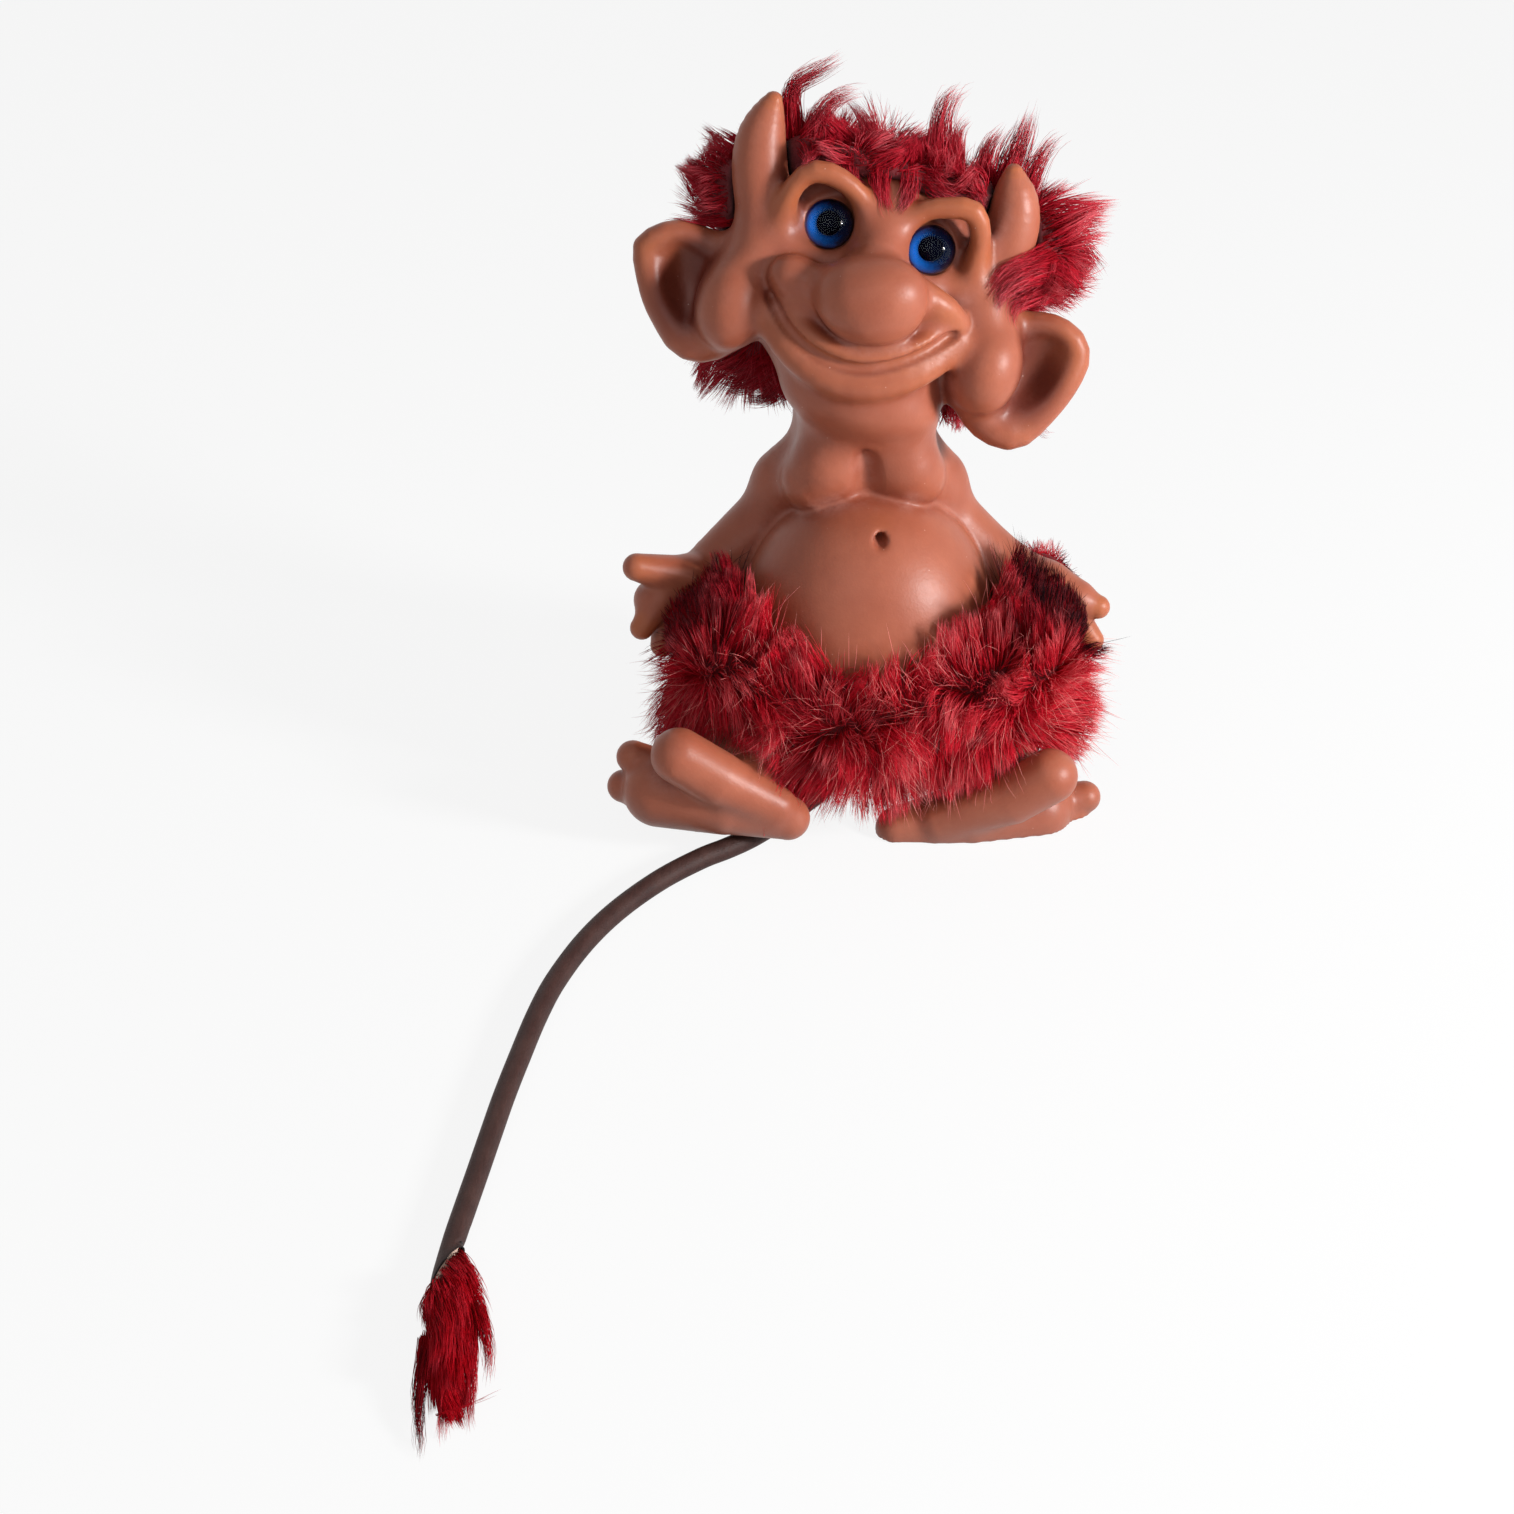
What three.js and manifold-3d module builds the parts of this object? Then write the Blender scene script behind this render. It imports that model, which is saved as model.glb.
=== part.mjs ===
// A seated folk troll: moulded rubber figure, glass eyes, dyed fur wig and skirt, long tail with a fur tuft.
// Millimetres and degrees. X runs to the right of a person facing the figure, Y to its back, Z up.
// The figure sits on Z = 0 with the origin under the middle of the seated figure, tail left out.
import * as THREE from "three";
import { mergeVertices } from "three/addons/utils/BufferGeometryUtils.js";
import Module from "manifold-3d";

const wasm = await Module();
wasm.setup();

// Moulding
const WALL = 4;
const CROWN_OPENING = 24;
const FIT = 0.3;

// Trunk
const BELLY_AT = [0.8, -0.5, 50.4];
const BELLY_WIDTH = 65.2;
const BELLY_DEPTH = 62;
const BELLY_HEIGHT = 72.8;
const SEAT_AT = [18, 14, 18];
const SEAT_SIZE = [21, 23, 21];
const TRUNK_RADIUS = 24;
const SHOULDER_RADIUS = 16;
const NECK_RADIUS = 17;
const CHEST_RADIUS = 9.2;
const NAVEL_WIDTH = 3.2;

// Limbs
const ARM_RADIUS = 9;
const WRIST_RADIUS = 6.2;
const FINGER_RADIUS = 3.1;
const THIGH_RADIUS = 17;
const FOOT_RADIUS = 9.2;
const TOE_RADIUS = 7.1;

// Head, measured from the point midway between the eyes: right, back, up
const HEAD_AT = [2.2, 6, 151.7];
const HEAD_ROLL = 14;
const HEAD_TILT = -17;
const SKULL_AT = [0, 20, -5];
const SKULL_SIZE = [29, 22, 19];
const JAW_AT = [0, 15, -20];
const JAW_SIZE = [29, 21, 19];
const EYE_DIAMETER = 12;
const EYE_SPACING = 25.4;
const SOCKET_SIZE = [8.8, 7, 9.4];
const BROW_RADIUS = 2.6;
const NOSE_SIZE = [13.2, 11.4, 10.6];
const CHEEK_SIZE = [9.1, 11, 11.6];
const CHEEK_SPACING = 64;
const LIP_RADIUS = 3;
const MOUTH_LINE_RADIUS = 1.1;
const HORN_RADIUS = 6.8;
const HORN_TIP_RADIUS = 2.3;
const EAR_SIZE = [11.8, 4.6, 15];
const EAR_RIM_RADIUS = 3;
const EAR_HOLLOW = [5.4, 6.4, 9.7];

// Eyes
const GLASS_BACK = 1.5;
const PAINT_THICKNESS = 0.5;
const IRIS_DIAMETER = 10.6;
const PUPIL_DIAMETER = 3.8;
const SHANK_PLATE_THICKNESS = 0.8;
const SHANK_DIAMETER = 1.8;
const SHANK_LENGTH = 9;

// Tail, from its seat inside the body to the end under the tuft
const TAIL_DIAMETER = 5.4;
const TAIL_BORE = 3;
const TAIL_CORE_DIAMETER = 1.8;
const TAIL_STEPS = 34;
const TAIL_GROOVE_RADIUS = 4.3;
const WASHER_DIAMETER = 11;
const WASHER_THICKNESS = 1.6;
const TAIL_ROUTE = [
  [0, 27, 19],
  [0, 24, 15],
  [0, 20.5, 10.8],
  [-0.5, 15.5, 6.6],
  [-1.5, 9.5, 3.9],
  [-4, 2.5, 3],
  [-9, -7, 2.9],
  [-16, -17, 2.9],
  [-23, -25.5, 2.9],
  [-29, -32, 2.9],
  [-35, -37, 2.9],
  [-42, -42, 2.9],
  [-52, -51.5, 2.9],
  [-62, -64.5, 2.9],
  [-69.5, -78, 2.9],
  [-75.5, -93.5, 2.9],
  [-79, -107, 2.9],
  [-82, -123, 2.9],
  [-84.4, -137, 2.9],
  [-86.4, -151, 2.9],
  [-88, -162.5, 2.9],
  [-89.5, -173, 2.9],
  [-91, -184, 2.9],
  [-92, -195, 2.9],
  [-92, -203, 2.9],
];
const FIRST_GROOVE_POINT = 3;
const LAST_GROOVE_POINT = 9;

// Fur pelts
const PELT_GAP = 1.1;
const PELT_FIT = 0.7;
const PELT_FLOOR_GAP = 3;
const WIG_FRINGE_RADIUS = 7;
const WIG_BACK_AT = [0, 28, -6];
const WIG_BACK_SIZE = [36, 24, 27];
const WIG_LOCK_FOOT = 18;
const WIG_LOCK_HEIGHT = 19;
const SKIRT_RADIUS = 16;
const SKIRT_HALF_WIDTH = 44;
const SKIRT_HALF_DEPTH = 26;
const SKIRT_TOP_RING = 43;
const SKIRT_LOWER_RING = 27;
const SKIRT_CENTRE = [3, 2];
const SKIRT_SIDE_LIFT = 9;
const TUFT_RADIUS = 7.2;
const TUFT_TIP_RADIUS = 2.4;
const TUFT_LENGTH = 37;
const TUFT_LEAN = 5;
const TUFT_FLOOR_GAP = 0.6;
const TUFT_BORE_DEPTH = 10;

// Facet sizes of the modelled surfaces
const FACE_FACET = 4;
const BODY_FACET = 6.4;
const CORE_FACET = 9;
const FUR_FACET = 6.4;
const TUFT_FACET = 3.4;
const FRONT_TO = 10;
const HEAD_FROM = 104;

const MATERIALS = {
  skin: { color: 0xb4664f, roughness: 0.42, metalness: 0 },
  glass: { color: 0x1f568e, roughness: 0.05, metalness: 0 },
  iris: { color: 0x0b3f86, roughness: 0.4, metalness: 0 },
  pupil: { color: 0x050614, roughness: 0.3, metalness: 0 },
  wire: { color: 0x8c8c88, roughness: 0.4, metalness: 1 },
  hair: { color: 0x9c202c, roughness: 0.85, metalness: 0 },
  fur: { color: 0xb43340, roughness: 0.85, metalness: 0 },
  hide: { color: 0x37201d, roughness: 0.6, metalness: 0 },
  washer: { color: 0x9a7a52, roughness: 0.7, metalness: 0 },
};

const radians = THREE.MathUtils.degToRad;
const half = (length) => length / 2;
const point = (p) => new THREE.Vector3(...p);

// Clay: rounded lumps that run together over a blend width, and hollows pressed into them

function turned([pitch, roll, yaw]) {
  const euler = new THREE.Euler(radians(pitch), radians(roll), radians(yaw), "ZXY");
  return new THREE.Quaternion().setFromEuler(euler);
}

function egg(at, size, blend, turn = [0, 0, 0]) {
  return { at: point(at), size, blend, turn: turned(turn), cut: false };
}

function roll(points, radii, blend) {
  const list = Array.isArray(radii) ? radii : points.map(() => radii);
  return { points: points.map(point), radii: list, blend, cut: false };
}

// A roll that bends and swells evenly through its points
function bent(points, radii, blend, steps = 8) {
  const list = Array.isArray(radii) ? radii : points.map(() => radii);
  const line = new THREE.CatmullRomCurve3(points.map(point), false, "catmullrom", 0.5);
  const widths = list.map((radius) => new THREE.Vector3(radius, 0, 0));
  const swell = new THREE.CatmullRomCurve3(widths, false, "catmullrom", 0.5);
  const shares = Array.from({ length: steps + 1 }, (_, i) => line.getUtoTmapping(i / steps));
  const through = shares.map((share) => line.getPoint(share));
  return { points: through, radii: shares.map((share) => swell.getPoint(share).x), blend, cut: false };
}

function pressed(lump) {
  return { ...lump, cut: true };
}

function mirrored(lump) {
  const flip = new THREE.Vector3(-1, 1, 1);
  if (lump.points) {
    return { ...lump, points: lump.points.map((p) => p.clone().multiply(flip)) };
  }
  const { x, y, z, w } = lump.turn;
  return { ...lump, at: lump.at.clone().multiply(flip), turn: new THREE.Quaternion(x, -y, -z, w) };
}

function bothSides(lump) {
  return [lump, mirrored(lump)];
}

const UNSCALED = new THREE.Vector3(1, 1, 1);
const HEAD_TURN = turned([HEAD_TILT, HEAD_ROLL, 0]);
const HEAD_PLACE = new THREE.Matrix4().compose(point(HEAD_AT), HEAD_TURN, UNSCALED);

function onHead(lump) {
  const move = (p) => p.clone().applyQuaternion(HEAD_TURN).add(point(HEAD_AT));
  if (lump.points) {
    return { ...lump, points: lump.points.map(move) };
  }
  return { ...lump, at: move(lump.at), turn: HEAD_TURN.clone().multiply(lump.turn) };
}

const local = new THREE.Vector3();
const back = new THREE.Quaternion();

function eggDistance(lump, x, y, z) {
  local.set(x - lump.at.x, y - lump.at.y, z - lump.at.z).applyQuaternion(back.copy(lump.turn).conjugate());
  const [a, b, c] = lump.size;
  const near = Math.hypot(local.x / a, local.y / b, local.z / c);
  const steep = Math.hypot(local.x / (a * a), local.y / (b * b), local.z / (c * c));
  return (near * (near - 1)) / Math.max(steep, 1e-6);
}

function rollDistance(lump, x, y, z) {
  let best = Infinity;
  for (let i = 0; i + 1 < lump.points.length; i += 1) {
    const a = lump.points[i];
    const b = lump.points[i + 1];
    const [dx, dy, dz] = [b.x - a.x, b.y - a.y, b.z - a.z];
    const along = (x - a.x) * dx + (y - a.y) * dy + (z - a.z) * dz;
    const t = Math.min(1, Math.max(0, along / (dx * dx + dy * dy + dz * dz)));
    const away = Math.hypot(x - a.x - t * dx, y - a.y - t * dy, z - a.z - t * dz);
    best = Math.min(best, away - lump.radii[i] - t * (lump.radii[i + 1] - lump.radii[i]));
  }
  return best;
}

function clayDistance(lumps, x, y, z) {
  let have = 100;
  for (const lump of lumps) {
    const far = lump.points ? rollDistance(lump, x, y, z) : eggDistance(lump, x, y, z);
    const k = lump.blend;
    const overlap = Math.max(0, k - Math.abs(lump.cut ? have + far : have - far)) / k;
    const ease = (overlap * overlap * k) / 4;
    have = lump.cut ? Math.max(have, -far) + ease : Math.min(have, far) - ease;
  }
  return have;
}

// The figure's own lumps

function seat() {
  return [...bothSides(egg(SEAT_AT, SEAT_SIZE, 8)), egg([0, 15, 25], [24, 23, 18], 6)];
}

// The neck runs from the shoulders up into the jaw, wherever the head is set
const NECK_ROUTE = [[0, 16, 86], [0, 15, 98], [HEAD_AT[0] - 1.6, HEAD_AT[1] + 7, HEAD_AT[2] - 39.7]];

function trunk() {
  return [
    roll([[0, 14, 50], [0, 16, 84]], [TRUNK_RADIUS, SHOULDER_RADIUS], 10),
    bent(NECK_ROUTE, [NECK_RADIUS + 0.9, NECK_RADIUS, NECK_RADIUS + 0.4], 7),
    bent([[-10.5, 15, 104], [-11, 15, 97.5], [-13.7, 14.5, 90.5], [-20, 14, 83]], [7.2, 7.2, 7.4, 8.4], 4),
    bent([[9.4, 15, 104], [9.7, 15, 97.5], [11.4, 14.5, 91], [18, 14, 83]], [7.2, 7.2, 7.4, 8.2], 4),
    egg([0, 7, 101], [13, 7, 8], 8),
    bent([[-6, 2.4, 99], [-9.2, 1, 93.4], [-13, 2, 88.4]], [CHEST_RADIUS - 2, CHEST_RADIUS, CHEST_RADIUS - 0.8], 4),
    bent([[6, 2.4, 99], [9.2, 1, 93.8], [12.2, 2, 89.6]], [CHEST_RADIUS - 2.2, CHEST_RADIUS - 0.4, CHEST_RADIUS - 1.4], 4),
    pressed(bent([[-0.4, -4, 103], [-0.3, -5.6, 97], [-0.4, -6, 88]], 1.3, 4.5)),
  ];
}

// The belly stands out against the arms, so it goes on after them
function belly() {
  return [
    egg(BELLY_AT, [half(BELLY_WIDTH), half(BELLY_DEPTH), half(BELLY_HEIGHT)], 1.6),
    pressed(egg([3.2, -16.4, 80.9], [half(NAVEL_WIDTH), 5, half(NAVEL_WIDTH) - 0.2], 1.2)),
  ];
}

function arms() {
  const taper = [ARM_RADIUS, ARM_RADIUS + 0.3, ARM_RADIUS - 0.7, WRIST_RADIUS];
  const finger = [FINGER_RADIUS + 1, FINGER_RADIUS];
  return [
    bent([[-8.2, 17, 87], [-23.4, 14.5, 72], [-35.8, 10.5, 61.5], [-44.8, 4, 57.8]], taper, 7),
    roll([[-44.8, 3, 59], [-53.9, 0, 55.4]], [WRIST_RADIUS, WRIST_RADIUS - 0.7], 3),
    roll([[-46.8, 1, 61.6], [-58.2, -3.6, 66.8]], [WRIST_RADIUS - 0.6, FINGER_RADIUS + 0.5], 3),
    roll([[-52.5, -2, 56.5], [-57.2, -5, 49.9]], finger, 2),
    roll([[-50.6, 2, 51.3], [-52.2, -2, 43.1]], finger, 2),
    bent([[9, 17, 86], [21.8, 14.5, 70.8], [34.8, 10.5, 60.4], [47.4, 4, 57]], taper, 7),
    roll([[47.7, 3, 58], [54.7, 0, 55.4]], [WRIST_RADIUS, WRIST_RADIUS - 0.7], 3),
    roll([[53.4, 0, 55.4], [60.5, -2, 54.4]], finger, 2),
    roll([[53.6, 0, 52.4], [59.6, -2, 44.6]], finger, 2),
  ];
}

function legs() {
  const sole = [FOOT_RADIUS - 3.5, FOOT_RADIUS, FOOT_RADIUS + 0.4];
  const bigToe = [TOE_RADIUS - 1.8, TOE_RADIUS, TOE_RADIUS];
  const smallToe = [TOE_RADIUS, TOE_RADIUS - 2.8];
  return [
    roll([[-20, 6, 18], [-35, -14, 20], [-28.8, -30, 20.8]], [THIGH_RADIUS, 12, 7], 6),
    roll([[20, 6, 18], [34, -12, 19], [32, -20, 11.4]], [THIGH_RADIUS, 12, 8], 6),
    roll([[-19.6, -36, 11.6], [-35.7, -34, 16.1], [-52.4, -30, 16.3]], sole, 3),
    roll([[-22.9, -38, 16.6], [-37.3, -39, 25.4], [-47.1, -39, 32.2]], bigToe, 2.5),
    roll([[-42.2, -26, 13.7], [-59.3, -26, 23.8]], smallToe, 1.8),
    roll([[-42.2, -28, 10.4], [-61.9, -26, 14.9]], smallToe, 1.8),
    roll([[9.1, -25, 1.2], [28.3, -22, 3], [45.7, -18, 2.6]], sole, 3),
    roll([[20.1, -27, 5.1], [38.2, -29, 13.5], [47.5, -30, 20.5]], bigToe, 2.5),
    roll([[44.8, -15, 0.6], [59, -14, 3.8]], smallToe, 1.6),
    roll([[44.7, -18, -1.8], [56, -16, -1.6]], smallToe, 1.6),
  ];
}

const sideOf = (side, spacing, [x, y, z]) => [x + side * half(spacing), y, z];

// Brow and lid points are measured from the middle of their eye
function brows() {
  const left = [
    [-9.3, 3.2, -9.8],
    [-10.9, 1.4, -2.8],
    [-10.9, -1, 4.4],
    [-8.7, -2.6, 9.6],
    [-5.1, -3.4, 11.6],
    [-0.1, -3.2, 11],
    [4.9, -2.2, 8.6],
    [8.5, -1.2, 4.4],
    [9.5, 0.2, -2],
  ];
  const right = [
    [11.1, 3.2, -10.3],
    [11.6, 1.8, -5.2],
    [11.3, 0.3, 1.8],
    [10.1, -2.2, 7.8],
    [6.9, -3.4, 11.4],
    [2, -3.2, 10.9],
    [-3.9, -2.2, 8.7],
    [-7.5, -1.2, 4.2],
    [-8.5, 0.2, -1.4],
  ];
  const r = BROW_RADIUS;
  const thick = [r - 0.6, r - 0.4, r - 0.3, r - 0.1, r + 0.1, r, r - 0.2, r - 0.2, r - 0.2];
  const over = (side, run) => bent(run.map((p) => sideOf(side, EYE_SPACING, p)), thick, 5, 10);
  const lid = [[-8, 2.5, -6], [-0.7, 0.2, -8.8], [7.9, 2, -8]].map((p) => sideOf(1, EYE_SPACING, p));
  return [
    ...bothSides(pressed(egg(sideOf(1, EYE_SPACING, [0, -5, 2.5]), SOCKET_SIZE, 3, [0, 8, 0]))),
    over(-1, left),
    over(1, right),
    ...bothSides(bent(lid, [2, 2.3, 2], 4)),
  ];
}

function mouth() {
  const upper = [
    [-19, -3.5, -20.7],
    [-13.6, -7, -25.1],
    [-6.9, -9.8, -27.7],
    [-0.7, -11, -28.4],
    [5.1, -11.2, -27.4],
    [11.7, -10.2, -24.4],
    [16.9, -8.2, -20.6],
    [21.2, -5, -16.8],
  ];
  const lower = [
    [-21.4, -1.5, -24.6],
    [-16.9, -5, -29.7],
    [-9.7, -7.6, -33.6],
    [-1.4, -8.8, -35.1],
    [6.8, -9, -33.7],
    [14.6, -8, -30.2],
    [19.9, -5.8, -26],
    [24, -2.6, -20.2],
  ];
  const smile = [
    [-22, -3.6, -19.6],
    [-18.7, -6.6, -23.9],
    [-12.8, -10, -28],
    [-6.3, -12.3, -30.2],
    [-0.2, -13, -30.7],
    [5.6, -13.2, -29.5],
    [12.2, -12.3, -26.3],
    [17.4, -10.2, -22.5],
    [21.4, -7.4, -18.7],
    [24, -4.8, -15.6],
  ];
  const r = LIP_RADIUS;
  return [
    bent(upper, [r - 0.8, r - 0.3, r, r + 0.1, r + 0.1, r, r - 0.4, r - 1], 2.5),
    bent(lower, [r, r + 0.2, r + 0.4, r + 0.6, r + 0.6, r + 0.4, r + 0.2, r], 4.5),
    pressed(bent(smile, MOUTH_LINE_RADIUS, 1.6)),
  ];
}

function nose() {
  const flap = [[10, -8.6, -10], [16, -8, -11.6], [20, -6.4, -12.8], [22.8, -4.4, -14.6]];
  return [
    bent([[0.4, 4, 9], [0.4, -0.5, 2], [0.5, -6, -6]], [4.5, 4.6, 6.5], 5),
    egg([0.5, -11.8, -14.4], NOSE_SIZE, 2.4),
    egg([5.2, -15.4, -10.8], [7.6, 6.6, 6.8], 5),
    egg([-18.6, -5.2, -13.8], [5.6, 6, 4.9], 2.5),
    roll([[-18, -5.2, -13.9], [-11.5, -8, -13.6]], [3.6, 4.4], 3),
    bent(flap, [4.4, 3.8, 3.2, 2.5], 2.4),
  ];
}

function cheeks() {
  return [-1, 1].flatMap((side) => [
    egg(sideOf(side, CHEEK_SPACING, [1 - side * 4, 6, -13]), [8, 9, 9.5], 7),
    egg(sideOf(side, CHEEK_SPACING, [1.2, 3, -24.4]), CHEEK_SIZE, 4.5),
  ]);
}

function horns() {
  const left = [
    [-27.4, 9, -5],
    [-29.6, 7.4, 1],
    [-31.6, 6.4, 7],
    [-32.9, 6, 12],
    [-33.4, 5.5, 16.4],
    [-33.2, 5, 20.8],
    [-32.7, 4.5, 24.6],
  ];
  const right = [
    [29.6, 9, -3],
    [30.3, 8.5, 0.6],
    [30.9, 8, 4],
    [31, 7, 10.5],
    [30, 6.2, 15.6],
    [28.8, 5.6, 19],
    [27.8, 5, 22.2],
  ];
  const swell = [0.92, 0.96, 1, 0.94, 0.75, 0.4, 0];
  const thick = swell.map((share) => HORN_TIP_RADIUS + share * (HORN_RADIUS - HORN_TIP_RADIUS));
  return [bent(left, thick, 5), bent(right, thick, 5)];
}

function ears() {
  const left = [
    [-36, 11, -12.4],
    [-44.8, 9.6, -12.4],
    [-50.2, 9, -13],
    [-54.6, 9.2, -15.8],
    [-54.2, 9.5, -19.2],
    [-49.6, 9.5, -25.4],
    [-44.8, 9.5, -31.6],
    [-40, 9, -36.4],
    [-34, 9.5, -36],
    [-29, 10, -31],
  ];
  const right = [
    [38, 11, -13.4],
    [45.4, 9.6, -11.6],
    [51.8, 9, -12.6],
    [55.2, 9.2, -15.4],
    [55.6, 9.5, -19.6],
    [52.2, 9.5, -28.4],
    [48, 9.5, -36.8],
    [43.4, 9, -39.4],
    [36.6, 9.5, -37.6],
    [30.5, 10, -32],
  ];
  const r = EAR_RIM_RADIUS;
  const thick = [r, r, r - 0.1, r - 0.4, r - 0.3, r, r + 0.6, r + 1.2, r + 1.4, r + 1.4];
  return [
    egg([-42.5, 12.5, -23], EAR_SIZE, 4, [0, -30, 18]),
    egg([44.5, 12.5, -24.4], EAR_SIZE, 4, [0, 28, -18]),
    bent(left, thick, 4, 12),
    bent(right, thick, 4, 12),
    egg([-39, 10, -31.5], [7, 4, 6.5], 4),
    egg([41, 10, -33], [8, 4, 7], 4),
    pressed(egg([-42.6, 5.2, -22.5], EAR_HOLLOW, 4, [0, -26, 0])),
    pressed(egg([44.6, 5.2, -23.5], EAR_HOLLOW, 4, [0, 24, 0])),
  ];
}

function face() {
  const front = [
    egg(SKULL_AT, SKULL_SIZE, 6),
    egg([0, 12, 2], [24, 13, 14], 6),
    egg(JAW_AT, JAW_SIZE, 10),
    egg([0, 4, -28], [19, 13, 13], 8),
    egg([6, 7, -40], [18.6, 13, 9], 8),
    egg([-13.5, -3.5, -18.5], [6.5, 5.5, 5], 4),
    egg([15, -4, -16.5], [7.5, 5.5, 5.5], 4),
    ...horns(),
    ...ears(),
    ...cheeks(),
    ...brows(),
    ...mouth(),
    ...nose(),
  ];
  return front.map(onHead);
}

function tailGroove() {
  const run = TAIL_ROUTE.slice(FIRST_GROOVE_POINT, LAST_GROOVE_POINT + 1);
  return pressed(roll(run, TAIL_GROOVE_RADIUS, 2));
}

const FIGURE = [...seat(), ...trunk(), ...arms(), ...belly(), ...legs(), ...face(), tailGroove()];

function moulding(x, y, z) {
  return clayDistance(FIGURE, x, y, z);
}

// The core that leaves the moulding hollow follows the trunk and the skull one wall inside them

function hollowCore() {
  const inside = (size) => size.map((radius) => radius - WALL);
  const further = ([x, y, z]) => [x, y + half(WALL), z];
  return [
    egg([0, 17, 27], inside([27, 20, 16]), 6),
    egg(BELLY_AT, inside([half(BELLY_WIDTH), half(BELLY_DEPTH), half(BELLY_HEIGHT)]), 6),
    roll([[0, 14, 50], [0, 16, 84]], [TRUNK_RADIUS - WALL, SHOULDER_RADIUS - WALL], 6),
    bent(NECK_ROUTE, NECK_RADIUS - WALL, 6),
    onHead(egg(further(JAW_AT), inside(JAW_SIZE), 6)),
    onHead(egg(further(SKULL_AT), inside(SKULL_SIZE), 6)),
  ];
}

// Surface of a distance function over a grid of cells

const JUST_OFF = 1e-3;
const FILL_PASSES = 12;
const SETTLE_TURNS = 3;
const SETTLE_STEP = 0.05;
const SETTLE_SHARE = 0.4;
const FLAT_SLOPE = 0.05;

function gridLine(from, to, step) {
  const count = Math.ceil((to - from) / step);
  return Array.from({ length: count + 1 }, (_, i) => from + ((to - from) * i) / count);
}

// The box that lumps reach, before anything is pressed into them
function reachOf(lumps) {
  const box = new THREE.Box3();
  for (const lump of lumps.filter((each) => !each.cut)) {
    const centres = lump.points ?? [lump.at];
    const radii = lump.radii ?? [Math.max(...lump.size)];
    centres.forEach((centre, i) => {
      const radius = new THREE.Vector3().setScalar(radii[i]);
      box.expandByPoint(centre.clone().add(radius)).expandByPoint(centre.clone().sub(radius));
    });
  }
  return box;
}

function linesAround(lumps, step) {
  const { min, max } = reachOf(lumps).expandByScalar(2 * step);
  return [gridLine(min.x, max.x, step), gridLine(min.y, max.y, step), gridLine(min.z, max.z, step)];
}

function sampled(distance, [xs, ys, zs]) {
  const values = new Float32Array(xs.length * ys.length * zs.length);
  let n = 0;
  for (const z of zs) {
    for (const y of ys) {
      for (const x of xs) {
        values[n] = distance(x, y, z);
        n += 1;
      }
    }
  }
  return values;
}

// Shuts the loose crumbs of a field and leaves its largest piece
function keepLargest(values, nx, ny) {
  const label = new Int32Array(values.length);
  const steps = [1, -1, nx, -nx, nx * ny, -nx * ny];
  let best = 0;
  let bestSize = 0;
  let mark = 0;
  for (let start = 0; start < values.length; start += 1) {
    if (values[start] >= 0 || label[start]) continue;
    mark += 1;
    label[start] = mark;
    const heap = [start];
    let size = 0;
    while (heap.length) {
      const here = heap.pop();
      size += 1;
      for (const step of steps) {
        const next = here + step;
        if (next < 0 || next >= values.length || label[next] || values[next] >= 0) continue;
        label[next] = mark;
        heap.push(next);
      }
    }
    if (size > bestSize) [best, bestSize] = [mark, size];
  }
  for (let i = 0; i < values.length; i += 1) {
    if (label[i] && label[i] !== best) values[i] = Math.abs(values[i]) + JUST_OFF;
  }
}

// Corners of a cell, and its twelve edges as pairs of corners
const CORNERS = [0, 1, 2, 3, 4, 5, 6, 7].map((c) => [c & 1, (c >> 1) & 1, (c >> 2) & 1]);
const EDGES = CORNERS.flatMap((_, c) => [1, 2, 4].filter((bit) => !(c & bit)).map((bit) => [c, c | bit]));

function inOnePiece(corners) {
  const left = new Set(corners);
  const heap = [corners[0]];
  left.delete(corners[0]);
  while (heap.length) {
    const here = heap.pop();
    for (const bit of [1, 2, 4]) {
      if (left.delete(here ^ bit)) heap.push(here ^ bit);
    }
  }
  return left.size === 0;
}

// Fills the cells where the surface would touch itself at a corner or an edge
function fillTouching(values, [nx, ny, nz]) {
  const offsets = CORNERS.map(([i, j, k]) => i + nx * (j + ny * k));
  for (let pass = 0; pass < FILL_PASSES; pass += 1) {
    let changed = false;
    for (let k = 0; k + 1 < nz; k += 1) {
      for (let j = 0; j + 1 < ny; j += 1) {
        for (let i = 0; i + 1 < nx; i += 1) {
          const base = i + nx * (j + ny * k);
          const inside = [];
          const outside = [];
          offsets.forEach((offset, c) => (values[base + offset] < 0 ? inside : outside).push(c));
          if (!inside.length || !outside.length) continue;
          if (inOnePiece(inside) && inOnePiece(outside)) continue;
          const level = (c) => values[base + offsets[c]];
          const nearest = outside.reduce((a, b) => (level(a) < level(b) ? a : b));
          values[base + offsets[nearest]] = -JUST_OFF;
          changed = true;
        }
      }
    }
    if (!changed) return;
  }
}

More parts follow.
